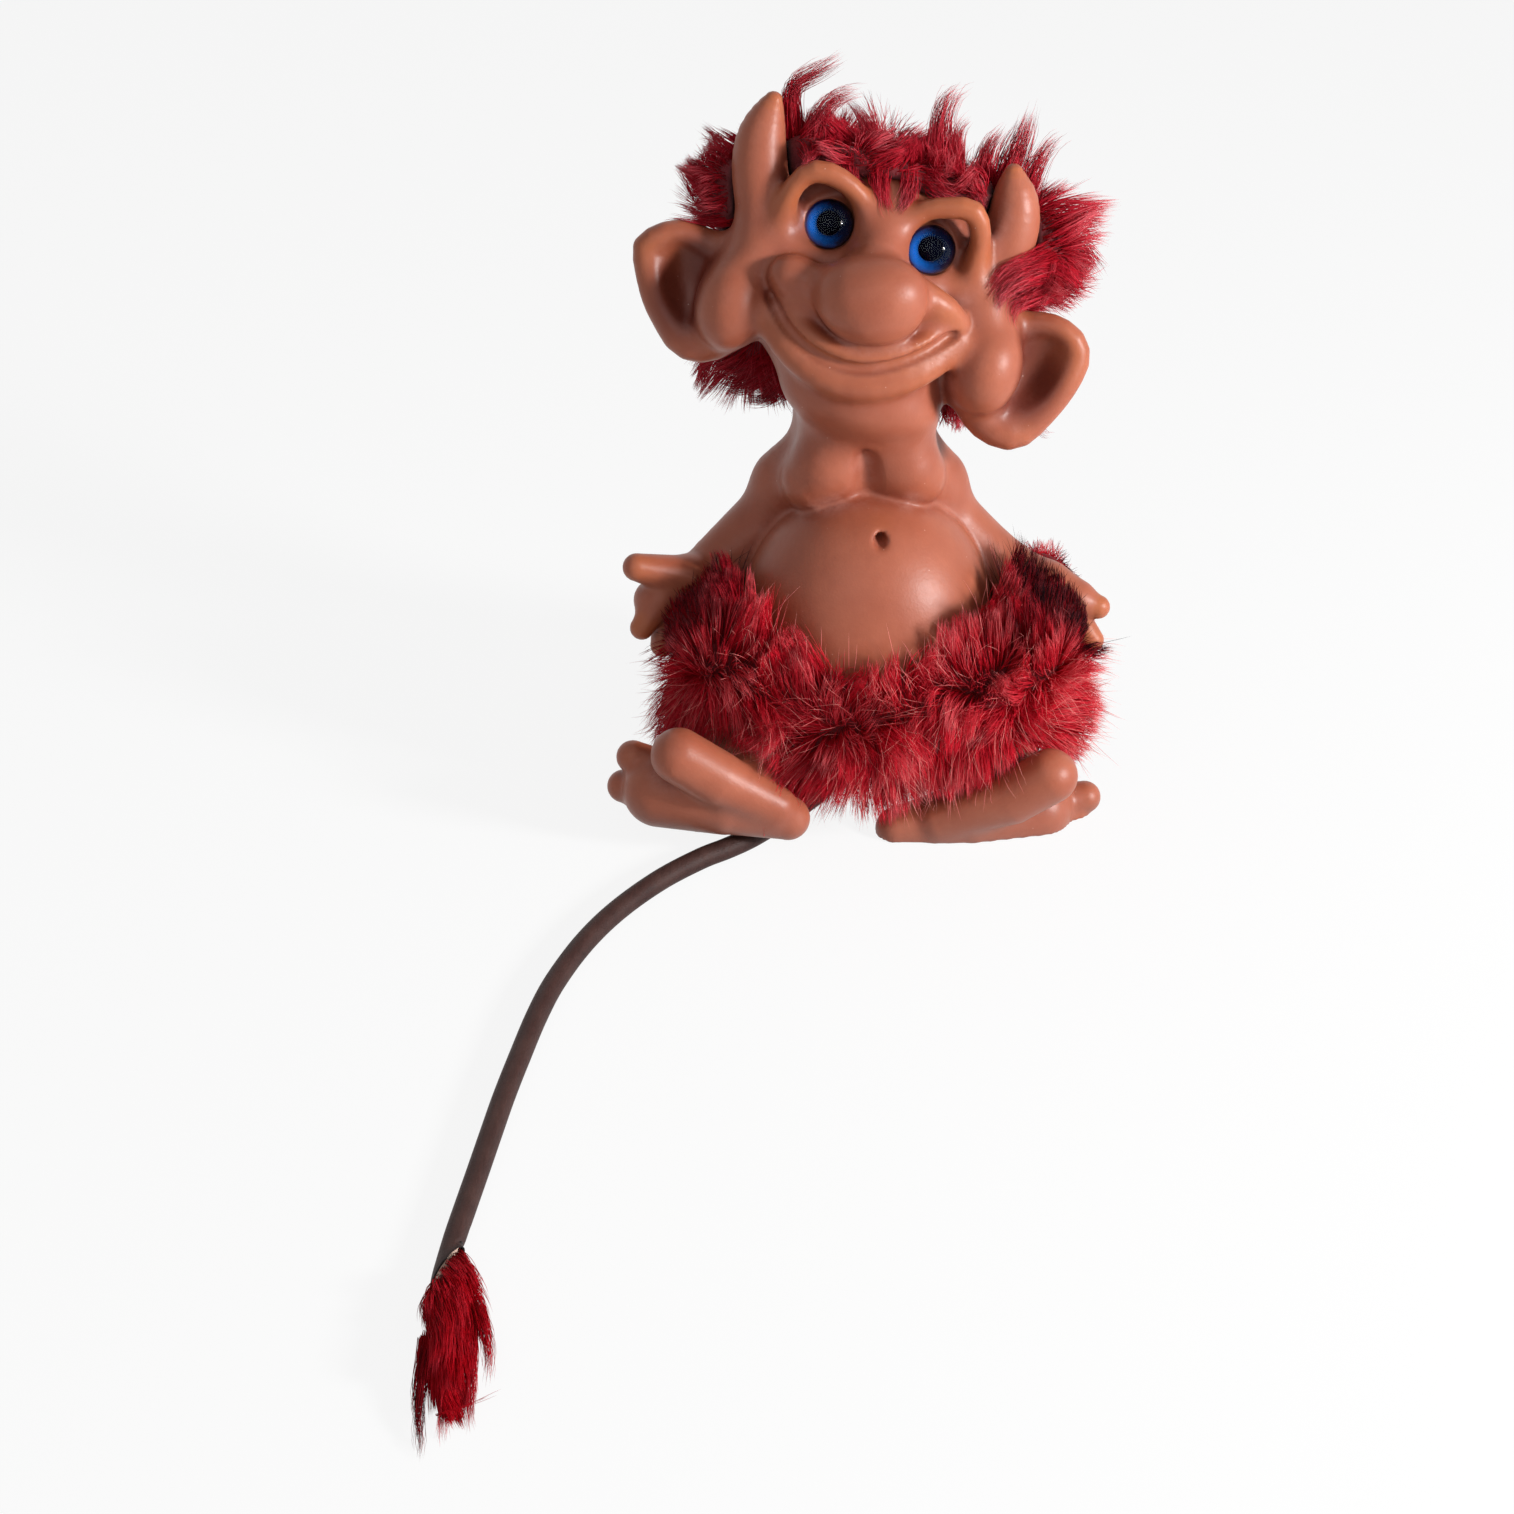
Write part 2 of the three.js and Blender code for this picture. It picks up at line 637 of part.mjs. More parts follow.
// Moves a point of the surface on to the clay, unless that takes it out of its own cell
function settle(distance, p, reach) {
  const start = [...p];
  for (let turn = 0; turn < SETTLE_TURNS; turn += 1) {
    const d = distance(...p);
    const slope = [0, 1, 2].map((axis) => {
      const ahead = [...p];
      ahead[axis] += SETTLE_STEP;
      return (distance(...ahead) - d) / SETTLE_STEP;
    });
    const steep = slope[0] ** 2 + slope[1] ** 2 + slope[2] ** 2;
    if (steep < FLAT_SLOPE) return start;
    for (let axis = 0; axis < 3; axis += 1) p[axis] -= (d * slope[axis]) / steep;
  }
  return Math.hypot(p[0] - start[0], p[1] - start[1], p[2] - start[2]) < reach ? p : start;
}

function skinOf(distance, lines) {
  const [xs, ys, zs] = lines;
  const [nx, ny, nz] = lines.map((line) => line.length);
  const values = sampled(distance, lines);
  keepLargest(values, nx, ny);
  fillTouching(values, [nx, ny, nz]);
  const offsets = CORNERS.map(([i, j, k]) => i + nx * (j + ny * k));
  const numbers = new Map();
  const vertices = [];
  for (let k = 0; k + 1 < nz; k += 1) {
    for (let j = 0; j + 1 < ny; j += 1) {
      for (let i = 0; i + 1 < nx; i += 1) {
        const base = i + nx * (j + ny * k);
        const sum = [0, 0, 0];
        let crossings = 0;
        for (const [a, b] of EDGES) {
          const [da, db] = [values[base + offsets[a]], values[base + offsets[b]]];
          if (da < 0 === db < 0) continue;
          const t = da / (da - db);
          const corner = (c, axis) => lines[axis][[i, j, k][axis] + CORNERS[c][axis]];
          for (let axis = 0; axis < 3; axis += 1) {
            sum[axis] += corner(a, axis) + t * (corner(b, axis) - corner(a, axis));
          }
          crossings += 1;
        }
        if (!crossings) continue;
        const reach = SETTLE_SHARE * Math.min(xs[i + 1] - xs[i], ys[j + 1] - ys[j], zs[k + 1] - zs[k]);
        numbers.set(base, vertices.length / 3);
        vertices.push(...settle(distance, sum.map((s) => s / crossings), reach));
      }
    }
  }
  const triangles = [];
  const stride = [1, nx, nx * ny];
  for (let k = 1; k + 1 < nz; k += 1) {
    for (let j = 1; j + 1 < ny; j += 1) {
      for (let i = 1; i + 1 < nx; i += 1) {
        const base = i + nx * (j + ny * k);
        for (let axis = 0; axis < 3; axis += 1) {
          const [here, there] = [values[base] < 0, values[base + stride[axis]] < 0];
          if (here === there) continue;
          const u = stride[(axis + 1) % 3];
          const v = stride[(axis + 2) % 3];
          const ring = [base, base - u, base - u - v, base - v].map((cell) => numbers.get(cell));
          if (there) ring.reverse();
          triangles.push(...splitQuad(ring, vertices));
        }
      }
    }
  }
  return solidOf(new Float32Array(vertices), new Uint32Array(triangles));
}

function splitQuad([a, b, c, d], vertices) {
  const along = (p, q, axis) => vertices[3 * p + axis] - vertices[3 * q + axis];
  const gap = (p, q) => Math.hypot(along(p, q, 0), along(p, q, 1), along(p, q, 2));
  return gap(a, c) <= gap(b, d) ? [a, b, c, a, c, d] : [b, c, d, b, d, a];
}

// Solids and meshes

function solidOf(vertProperties, triVerts) {
  return new wasm.Manifold(new wasm.Mesh({ numProp: 3, vertProperties, triVerts }));
}

function solidFrom(geometry) {
  const bare = geometry.clone();
  bare.deleteAttribute("normal");
  bare.deleteAttribute("uv");
  const merged = mergeVertices(bare, 1e-4);
  return solidOf(new Float32Array(merged.attributes.position.array), new Uint32Array(merged.index.array));
}

function geometryOf(solid) {
  const mesh = solid.getMesh();
  const geometry = new THREE.BufferGeometry();
  geometry.setAttribute("position", new THREE.BufferAttribute(new Float32Array(mesh.vertProperties), 3));
  geometry.setIndex(new THREE.BufferAttribute(new Uint32Array(mesh.triVerts), 1));
  geometry.computeVertexNormals();
  return geometry;
}

const troll = new THREE.Group();

function add(name, geometry, finish) {
  const mesh = new THREE.Mesh(geometry, new THREE.MeshStandardMaterial(MATERIALS[finish]));
  mesh.name = name;
  troll.add(mesh);
}

// Eyes: every piece is turned round an axis that looks out of the face

const EYE_SIDES = 16;
const EYE_SHAPE_BACK = GLASS_BACK + FIT;
const PLATE_FRONT = EYE_SHAPE_BACK + PAINT_THICKNESS + FIT;
const PLATE_BACK = PLATE_FRONT + SHANK_PLATE_THICKNESS;

function onEyeAxis(geometry, side) {
  const axis = new THREE.Matrix4().makeRotationX(Math.PI);
  const place = new THREE.Matrix4().makeTranslation(side * half(EYE_SPACING), 0, 0);
  return geometry.applyMatrix4(HEAD_PLACE.clone().multiply(place).multiply(axis));
}

function turnedProfile(pairs, sides = EYE_SIDES) {
  return new THREE.LatheGeometry(pairs.map(([radius, ahead]) => new THREE.Vector2(radius, ahead)), sides);
}

function domeProfile(radius, backPlane) {
  const start = -Math.asin(backPlane / radius);
  const steps = 7;
  const arc = Array.from({ length: steps + 1 }, (_, i) => {
    const angle = start + ((Math.PI / 2 - start) * i) / steps;
    return i === steps ? [0, radius] : [radius * Math.cos(angle), radius * Math.sin(angle)];
  });
  return [[0, -backPlane], ...arc];
}

function eyeGlass() {
  return turnedProfile(domeProfile(half(EYE_DIAMETER), GLASS_BACK));
}

function irisPaint() {
  const [inner, outer] = [half(PUPIL_DIAMETER) + FIT, half(IRIS_DIAMETER)];
  const [front, rear] = [-EYE_SHAPE_BACK, -EYE_SHAPE_BACK - PAINT_THICKNESS];
  return turnedProfile([[inner, rear], [outer, rear], [outer, front], [inner, front], [inner, rear]]);
}

function pupilPaint() {
  const [front, rear] = [-EYE_SHAPE_BACK, -EYE_SHAPE_BACK - PAINT_THICKNESS];
  return turnedProfile([[0, rear], [half(PUPIL_DIAMETER), rear], [half(PUPIL_DIAMETER), front], [0, front]]);
}

function eyeShank() {
  const [plate, stem] = [half(IRIS_DIAMETER), half(SHANK_DIAMETER)];
  const tip = -PLATE_BACK - SHANK_LENGTH;
  const wire = [[0, tip], [stem, tip], [stem, -PLATE_BACK]];
  return turnedProfile([...wire, [plate, -PLATE_BACK], [plate, -PLATE_FRONT], [0, -PLATE_FRONT]]);
}

function eyePocket() {
  const dome = domeProfile(half(EYE_DIAMETER) + FIT, GLASS_BACK + FIT).slice(1);
  const [plate, stem] = [half(IRIS_DIAMETER) + FIT, half(SHANK_DIAMETER) + FIT];
  const floor = -PLATE_BACK - FIT;
  const tip = -PLATE_BACK - SHANK_LENGTH - WALL;
  return turnedProfile([[0, tip], [stem, tip], [stem, floor], [plate, floor], ...dome]);
}

// Tail

const tailCurve = new THREE.CatmullRomCurve3(TAIL_ROUTE.map(point), false, "centripetal");

function disc(radius, sides) {
  const corners = Array.from({ length: sides }, (_, i) => {
    const angle = (2 * Math.PI * (i + 0.5)) / sides;
    return new THREE.Vector2(radius * Math.cos(angle), radius * Math.sin(angle));
  });
  return new THREE.Shape(corners);
}

function alongTail(shape, curve = tailCurve, steps = TAIL_STEPS) {
  return new THREE.ExtrudeGeometry(shape, { steps, extrudePath: curve, bevelEnabled: false });
}

function tailSheath() {
  const shape = disc(half(TAIL_DIAMETER), 10);
  shape.holes.push(disc(half(TAIL_BORE), 8));
  return alongTail(shape);
}

function tailCore() {
  return alongTail(disc(half(TAIL_CORE_DIAMETER), 6));
}

function tailWay() {
  const start = tailCurve.getPointAt(0);
  const before = start.clone().addScaledVector(tailCurve.getTangentAt(0), -half(WASHER_DIAMETER));
  const run = [before, ...TAIL_ROUTE.slice(0, FIRST_GROOVE_POINT + 2).map(point)];
  const way = new THREE.CatmullRomCurve3(run, false, "centripetal");
  return alongTail(disc(half(TAIL_DIAMETER) + 2 * FIT, 12), way, 10);
}

function onTailRoot(geometry) {
  const ahead = tailCurve.getTangentAt(0);
  const turn = new THREE.Quaternion().setFromUnitVectors(new THREE.Vector3(0, 1, 0), ahead);
  const middle = tailCurve.getPointAt(0).addScaledVector(ahead, WASHER_THICKNESS);
  return geometry.applyMatrix4(new THREE.Matrix4().compose(middle, turn, UNSCALED));
}

function washerProfile(inner, outer, thickness) {
  const [low, high] = [-half(thickness), half(thickness)];
  return turnedProfile([[inner, low], [outer, low], [outer, high], [inner, high], [inner, low]], 16);
}

function tailWasher() {
  return onTailRoot(washerProfile(half(TAIL_DIAMETER) + FIT, half(WASHER_DIAMETER), WASHER_THICKNESS));
}

function washerSeat() {
  const [radius, reach] = [half(WASHER_DIAMETER) + FIT, half(WASHER_THICKNESS) + FIT];
  return onTailRoot(turnedProfile([[0, -3 * reach], [radius, -3 * reach], [radius, reach], [0, reach]], 16));
}

// Body

// Small facets over the head and the front of the figure, larger ones elsewhere
function figureLines() {
  const { min, max } = reachOf(FIGURE).expandByScalar(2 * BODY_FACET);
  const xs = gridLine(min.x, max.x, FACE_FACET);
  const ys = [...gridLine(min.y, FRONT_TO, FACE_FACET), ...gridLine(FRONT_TO, max.y, BODY_FACET).slice(1)];
  const zs = [...gridLine(min.z, HEAD_FROM, BODY_FACET), ...gridLine(HEAD_FROM, max.z, FACE_FACET).slice(1)];
  return [xs, ys, zs];
}

function floorBlock() {
  const deep = 40;
  return new THREE.BoxGeometry(400, 400, deep).translate(0, 0, -half(deep));
}

function crownHole() {
  const height = SKULL_SIZE[2] + 12;
  const shaft = new THREE.CylinderGeometry(half(CROWN_OPENING), half(CROWN_OPENING), height, 24);
  // The shaft stands on the level of the eyes and runs out through the top of the skull
  shaft.rotateX(Math.PI / 2).translate(0, SKULL_AT[1] + half(WALL), half(height));
  return shaft.applyMatrix4(HEAD_PLACE);
}

const figureSolid = skinOf(moulding, figureLines());

function bodyShell() {
  const lumps = hollowCore();
  const core = (x, y, z) => clayDistance(lumps, x, y, z);
  const cuts = [crownHole(), eyePocketAt(-1), eyePocketAt(1), tailWay(), washerSeat(), floorBlock()];
  const start = figureSolid.subtract(skinOf(core, linesAround(lumps, CORE_FACET)));
  return geometryOf(cuts.reduce((body, cut) => body.subtract(solidFrom(cut)), start));
}

function eyePocketAt(side) {
  return onEyeAxis(eyePocket(), side);
}

// Pelts: soft outlines with the figure cut out of them

function wig() {
  const fringe = [[-36, 16, 2], [-23, 8, 14.5], [0, 4, 14.5], [23, 8, 14.5], [36, 16, 2]];
  const lock = (x, y, lean) => {
    const tip = [x + lean, y, WIG_LOCK_FOOT + WIG_LOCK_HEIGHT];
    return roll([[x, y, WIG_LOCK_FOOT], tip], [5, 1.6], 5);
  };
  const lumps = [
    roll(fringe, [10, WIG_FRINGE_RADIUS, WIG_FRINGE_RADIUS, WIG_FRINGE_RADIUS, 10], 6),
    egg([0, 16, 6], [27, 15, 17], 6),
    egg(WIG_BACK_AT, WIG_BACK_SIZE, 8),
    egg([-37, 17, -1], [11, 11, 12], 6),
    egg([39, 17, 5], [13, 12, 15], 6),
    roll([[-28, 34, -34], [28, 34, -34]], 10, 8),
    lock(-16, 9, -3),
    lock(9, 10, 1),
    lock(27, 12, 3),
  ];
  return lumps.map(onHead);
}

function hipRing(wide, deep, level, sideLift, radius) {
  const count = 20;
  const [x, y] = SKIRT_CENTRE;
  const ring = Array.from({ length: count + 1 }, (_, i) => {
    const angle = (2 * Math.PI * i) / count;
    const lift = sideLift * Math.sin(angle) ** 2;
    return [x + wide * Math.sin(angle), y - deep * Math.cos(angle), level + lift];
  });
  return roll(ring, radius, 8);
}

function skirt() {
  return [
    hipRing(SKIRT_HALF_WIDTH, SKIRT_HALF_DEPTH, SKIRT_TOP_RING, SKIRT_SIDE_LIFT, SKIRT_RADIUS),
    hipRing(SKIRT_HALF_WIDTH, SKIRT_HALF_DEPTH - 3, SKIRT_LOWER_RING, 0, SKIRT_RADIUS - 1.5),
  ];
}

const figureWithGap = skinOf((x, y, z) => moulding(x, y, z) - PELT_FIT, figureLines()).add(figureSolid);

function peltSkin(lumps) {
  const outline = (x, y, z) => Math.max(clayDistance(lumps, x, y, z), PELT_FLOOR_GAP - z);
  const pelt = (x, y, z) => Math.max(outline(x, y, z), PELT_GAP - moulding(x, y, z));
  return geometryOf(skinOf(pelt, linesAround(lumps, FUR_FACET)).subtract(figureWithGap));
}

function tuftPelt() {
  const [x, y] = TAIL_ROUTE[TAIL_ROUTE.length - 1];
  const middle = [
    [x, y + 6, 5.2],
    [x + TUFT_LEAN * 0.3, y - 5, TUFT_RADIUS],
    [x + TUFT_LEAN * 0.7, y - 21, TUFT_RADIUS - 0.4],
    [x + TUFT_LEAN, y - TUFT_LENGTH, 4],
  ];
  const lumps = [roll(middle, [4.8, TUFT_RADIUS, TUFT_RADIUS - 0.4, TUFT_TIP_RADIUS], 1)];
  const distance = (...p) => Math.max(clayDistance(lumps, ...p), TUFT_FLOOR_GAP - p[2]);
  const end = tailCurve.getPointAt(1);
  const ahead = tailCurve.getTangentAt(1);
  const stop = end.clone().addScaledVector(ahead, FIT);
  const bore = new THREE.LineCurve3(end.clone().addScaledVector(ahead, -2 * TUFT_BORE_DEPTH), stop);
  const hole = alongTail(disc(half(TAIL_DIAMETER) + 2 * FIT, 12), bore, 1);
  return geometryOf(skinOf(distance, linesAround(lumps, TUFT_FACET)).subtract(solidFrom(hole)));
}

add("body_shell", bodyShell(), "skin");
for (const [name, side] of [["left", -1], ["right", 1]]) {
  add(`${name}_eye_glass`, onEyeAxis(eyeGlass(), side), "glass");
  add(`${name}_eye_iris`, onEyeAxis(irisPaint(), side), "iris");
  add(`${name}_eye_pupil`, onEyeAxis(pupilPaint(), side), "pupil");
  add(`${name}_eye_shank`, onEyeAxis(eyeShank(), side), "wire");
}
add("wig_pelt", peltSkin(wig()), "hair");
add("skirt_pelt", peltSkin(skirt()), "fur");
add("tail_sheath", tailSheath(), "hide");
add("tail_core", tailCore(), "wire");
add("tail_washer", tailWasher(), "washer");
add("tail_tuft", tuftPelt(), "fur");

// The origin goes under the middle of the seated figure
const seated = new THREE.Box3();
for (const mesh of troll.children) {
  if (!mesh.name.startsWith("tail_") || mesh.name === "tail_washer") seated.expandByObject(mesh);
}
const middle = seated.getCenter(new THREE.Vector3());
troll.position.set(-middle.x, -middle.y, -seated.min.z);

export default troll;
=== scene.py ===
# A seated folk troll: a moulded rubber figure with glass eyes, a dyed fur wig and skirt, and a long leather
# tail that ends in a tuft.
# Sizes are millimetres and degrees in the sculptor's frame: X to the right of a person facing the figure,
# Y to its back, Z up. A mesh is made in the row frame, in metres, when its points are laid out.
import math

import bpy
import numpy as np
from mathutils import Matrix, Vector


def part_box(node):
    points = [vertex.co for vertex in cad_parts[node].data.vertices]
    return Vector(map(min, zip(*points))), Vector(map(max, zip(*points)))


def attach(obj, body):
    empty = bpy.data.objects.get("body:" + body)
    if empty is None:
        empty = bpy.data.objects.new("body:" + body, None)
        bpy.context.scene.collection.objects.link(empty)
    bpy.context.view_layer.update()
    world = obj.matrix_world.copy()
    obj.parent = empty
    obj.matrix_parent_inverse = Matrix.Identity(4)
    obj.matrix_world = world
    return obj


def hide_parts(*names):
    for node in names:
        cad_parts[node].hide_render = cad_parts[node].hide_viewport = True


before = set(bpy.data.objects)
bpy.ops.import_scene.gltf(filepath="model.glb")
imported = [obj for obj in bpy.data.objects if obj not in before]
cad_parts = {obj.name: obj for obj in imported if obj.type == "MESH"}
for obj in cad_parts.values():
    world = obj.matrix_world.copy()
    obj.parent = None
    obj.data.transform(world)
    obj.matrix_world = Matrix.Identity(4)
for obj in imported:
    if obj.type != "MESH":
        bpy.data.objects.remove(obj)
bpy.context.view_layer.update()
scene = bpy.context.scene
rng = np.random.default_rng(7)

MM = 0.001

# The tail's washer shows where the sculpture stands in the row frame
WASHER_AT = np.array([0, 26.04, 17.72])
washer_low, washer_high = (np.array(corner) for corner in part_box("tail_washer"))
STANDS_AT = (washer_low + washer_high) / 2 - WASHER_AT * MM
STANDS_AT[2] = 0

# Camera
PHOTO_SIDE = 1514
FOCAL_PIXELS = 2653
SENSOR = 36
VIEW_ELEVATION = 32
CAMERA_AT = [-27.5, -603.2, 384.4]

# Eyes and head
HEAD_AT = np.array([2.2, 6, 151.7])
HEAD_ROLL = 14
HEAD_TILT = -17
EYE_DIAMETER = 12
EYE_SPACING = 25.4
IRIS_DIAMETER = 10.6
PUPIL_DIAMETER = 3.8
GLASS_BACK = 1.5
PAINT_PLANE = 1.8
PAINT_THICKNESS = 0.5
EYE_SIDES = 64

# Face
CHEEK_SPACING = 64
BROW_RADIUS = 2.6
LIP_RADIUS = 3
HORN_RADIUS = 6.8
HORN_TIP_RADIUS = 2.3
EAR_RIM_RADIUS = 3

# Trunk and limbs
NECK_RADIUS = 17
BELLY_AT = [0.8, -0.5, 50.4]
BELLY_SIZE = [32.6, 31, 36.4]
FOOT_RADIUS = 9.2
TOE_RADIUS = 7.1
WRIST_RADIUS = 6.2
FINGER_RADIUS = 3.1

# Tail
TAIL_ROOT_RADIUS = 2.95
TAIL_END_RADIUS = 2.4
LAP_THICKNESS = 0.35
SEAM_TURN = 0.62
# The sheath's end: its slanting cut, how it turns out before that, and its wall and stop inside
CUT_BACK = 9.4
CUT_SLANT = 6.3
FLARE = 1.0
FLARE_RUN = 26
CUT_WALL = 0.16
STOP_INSET = 0.2
STOP_DEPTH = 4
TAIL_ROUTE = [
    [0, 27, 19], [0, 24, 15], [0, 20.5, 10.8], [-0.5, 15.5, 6.6], [-1.5, 9.5, 3.9], [-4, 2.5, 3],
    [-9, -7, 2.9], [-16, -17, 2.9], [-23, -25.5, 2.9], [-29, -32, 2.9], [-35, -37, 2.9], [-42, -42, 2.9],
    [-52, -51.5, 2.9], [-62, -64.5, 2.9], [-69.5, -78, 2.9], [-75.5, -93.5, 2.9], [-79, -107, 2.9],
    [-82, -123, 2.9], [-84.4, -137, 2.9], [-86.4, -151, 2.9], [-88, -162.5, 2.9], [-89.5, -173, 2.9],
    [-91, -184, 2.9], [-92, -195, 2.9], [-92, -203, 2.9],
]

# Cells of the modelled surfaces, and the space that holds the figure
SKIN_CELL = 0.85
FIGURE_LOW = [-76, -62, -2]
FIGURE_HIGH = [76, 76, 206]

# Fur
STRAND_STEPS = 5
LOCK_STEPS = 8
GUIDE_STEPS = 40
# The wig's locks hold more strands and spread wider than their list says
WIG_LOCK_STRANDS = 1.7
WIG_LOCK_WIDTH = 1.35
STRANDS_IN_A_PIECE = 6800
LOCK_STRANDS_IN_A_PIECE = 4200
STRAND_RADIUS = 0.1
HAIR_GAP = 0.35
HIDE_GAP = 0.5
HIDE_LIFT = 3.5
# A way that no strand is likely to run
ODD_WAY = [0.31, 0.17, 0.93]
SKIRT_CENTRE = [3, 2]


def placed(points):
    """Sculptor's millimetres as metres in the row frame."""
    return np.asarray(points, float) * MM + STANDS_AT


def unit(vectors):
    vectors = np.asarray(vectors, float)
    return vectors / np.maximum(np.linalg.norm(vectors, axis=-1, keepdims=True), 1e-9)


def make_camera():
    lens = bpy.data.cameras.new("camera")
    lens.sensor_width = SENSOR
    lens.lens = FOCAL_PIXELS / PHOTO_SIDE * SENSOR
    lens.clip_start = 0.01
    camera = bpy.data.objects.new("camera", lens)
    camera.location = placed(CAMERA_AT)
    camera.rotation_euler = (math.radians(90 - VIEW_ELEVATION), 0, 0)
    scene.collection.objects.link(camera)
    scene.camera = camera


def piece(name, points, faces, finish, replaces=(), facts=None):
    """A mesh piece. All its faces have three corners, or all have four. Facts are numbers of its points."""
    mesh = bpy.data.meshes.new(name)
    corners = faces.shape[1]
    mesh.vertices.add(len(points))
    mesh.vertices.foreach_set("co", placed(points).astype(np.float32).ravel())
    mesh.loops.add(faces.size)
    mesh.loops.foreach_set("vertex_index", faces.astype(np.int32).ravel())
    mesh.polygons.add(len(faces))
    mesh.polygons.foreach_set("loop_start", np.arange(0, faces.size, corners, dtype=np.int32))
    mesh.polygons.foreach_set("use_smooth", np.ones(len(faces), bool))
    mesh.update(calc_edges=True)
    for fact, values in (facts or {}).items():
        attribute = mesh.attributes.new(fact, "FLOAT", "POINT")
        attribute.data.foreach_set("value", np.asarray(values, np.float32))
    mesh.materials.append(finish)
    made = bpy.data.objects.new(name, mesh)
    scene.collection.objects.link(made)
    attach(made, "root")
    if replaces:
        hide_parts(*replaces)
    return made


# Shader maths


class Wire:
    """A shader socket. Arithmetic on it adds Math nodes."""

    def __init__(self, finish, socket):
        self.finish = finish
        self.socket = socket

    def maths(self, operation, first, second):
        made = self.finish.node("ShaderNodeMath", {"operation": operation}, {0: first, 1: second})
        return Wire(self.finish, made.outputs[0])

    def __add__(self, other):
        return self.maths("ADD", self, other)

    def __sub__(self, other):
        return self.maths("SUBTRACT", self, other)

    def __rsub__(self, other):
        return self.maths("SUBTRACT", other, self)

    def __mul__(self, other):
        return self.maths("MULTIPLY", self, other)

    __radd__ = __add__

    def clamped(self):
        return self.maths("MINIMUM", self.maths("MAXIMUM", self, 0.0), 1.0)

    def between(self, low, high):
        """0 where the value is at low or under, 1 at high or over."""
        return ((self - low) * (1 / (high - low))).clamped()


def paint(red, green, blue):
    """A screen colour, 0 to 255, as a shader colour."""
    line = [c / 255 / 12.92 if c < 10.3 else ((c / 255 + 0.055) / 1.055) ** 2.4 for c in (red, green, blue)]
    return (*line, 1)


class Finish:
    """A material under construction."""

    def __init__(self, name):
        self.material = bpy.data.materials.new(name)
        self.material.use_nodes = True
        self.tree = self.material.node_tree
        self.shader = self.tree.nodes["Principled BSDF"]
        self.output = self.tree.nodes["Material Output"]

    def node(self, kind, settings=None, inputs=None):
        made = self.tree.nodes.new(kind)
        for name, value in (settings or {}).items():
            setattr(made, name, value)
        for key, value in (inputs or {}).items():
            self.plug(made.inputs[key], value)
        return made

    def plug(self, socket, value):
        if isinstance(value, Wire):
            self.tree.links.new(value.socket, socket)
        else:
            socket.default_value = value

    def set(self, **sockets):
        """Principled sockets by name, with underscores for spaces."""
        for name, value in sockets.items():
            self.plug(self.shader.inputs[name.replace("_", " ").title().replace("Ior", "IOR")], value)

    def millimetres(self):
        """The place on the piece, in millimetres."""
        place = Wire(self, self.node("ShaderNodeTexCoord").outputs["Object"])
        scaled = self.node("ShaderNodeVectorMath", {"operation": "SCALE"}, {0: place, "Scale": 1 / MM})
        return Wire(self, scaled.outputs[0])

    def stretched(self, x, y, z):
        inputs = {0: self.millimetres(), 1: (x, y, z)}
        return Wire(self, self.node("ShaderNodeVectorMath", {"operation": "MULTIPLY"}, inputs).outputs[0])

    def noise(self, size, detail=3, rough=0.55, place=None):
        """Cloudy noise from 0 to 1 with lumps of that size in millimetres."""
        inputs = {"Vector": place or self.millimetres(), "Scale": 1 / size}
        inputs.update(Detail=detail, Roughness=rough)
        return Wire(self, self.node("ShaderNodeTexNoise", {}, inputs).outputs[0])

    def cells(self, size):
        """How far it is to the nearest of points scattered about that many millimetres apart."""
        inputs = {"Vector": self.millimetres(), "Scale": 1 / size}
        return Wire(self, self.node("ShaderNodeTexVoronoi", {}, inputs).outputs["Distance"])

    def fact(self, name):
        """A number that the piece's points hold."""
        return Wire(self, self.node("ShaderNodeAttribute", {"attribute_name": name}).outputs["Fac"])

    def mixed(self, share, first, second):
        """A colour between two colours."""
        inputs = {0: share, 6: first, 7: second}
        return Wire(self, self.node("ShaderNodeMix", {"data_type": "RGBA"}, inputs).outputs[2])

    def cover(self, share, other):
        """Gives another shader that share of the surface."""
        inputs = {0: share, 1: Wire(self, self.shader.outputs[0]), 2: Wire(self, other.outputs[0])}
        mix = self.node("ShaderNodeMixShader", {}, inputs)
        self.plug(self.output.inputs["Surface"], Wire(self, mix.outputs[0]))

    def bumped(self, height, depth, strength=1.0):
        """A surface normal from a height of 0 to 1 that stands for that depth in millimetres."""
        inputs = {"Height": height, "Distance": depth * MM, "Strength": strength}
        return Wire(self, self.node("ShaderNodeBump", {}, inputs).outputs[0])


# Materials


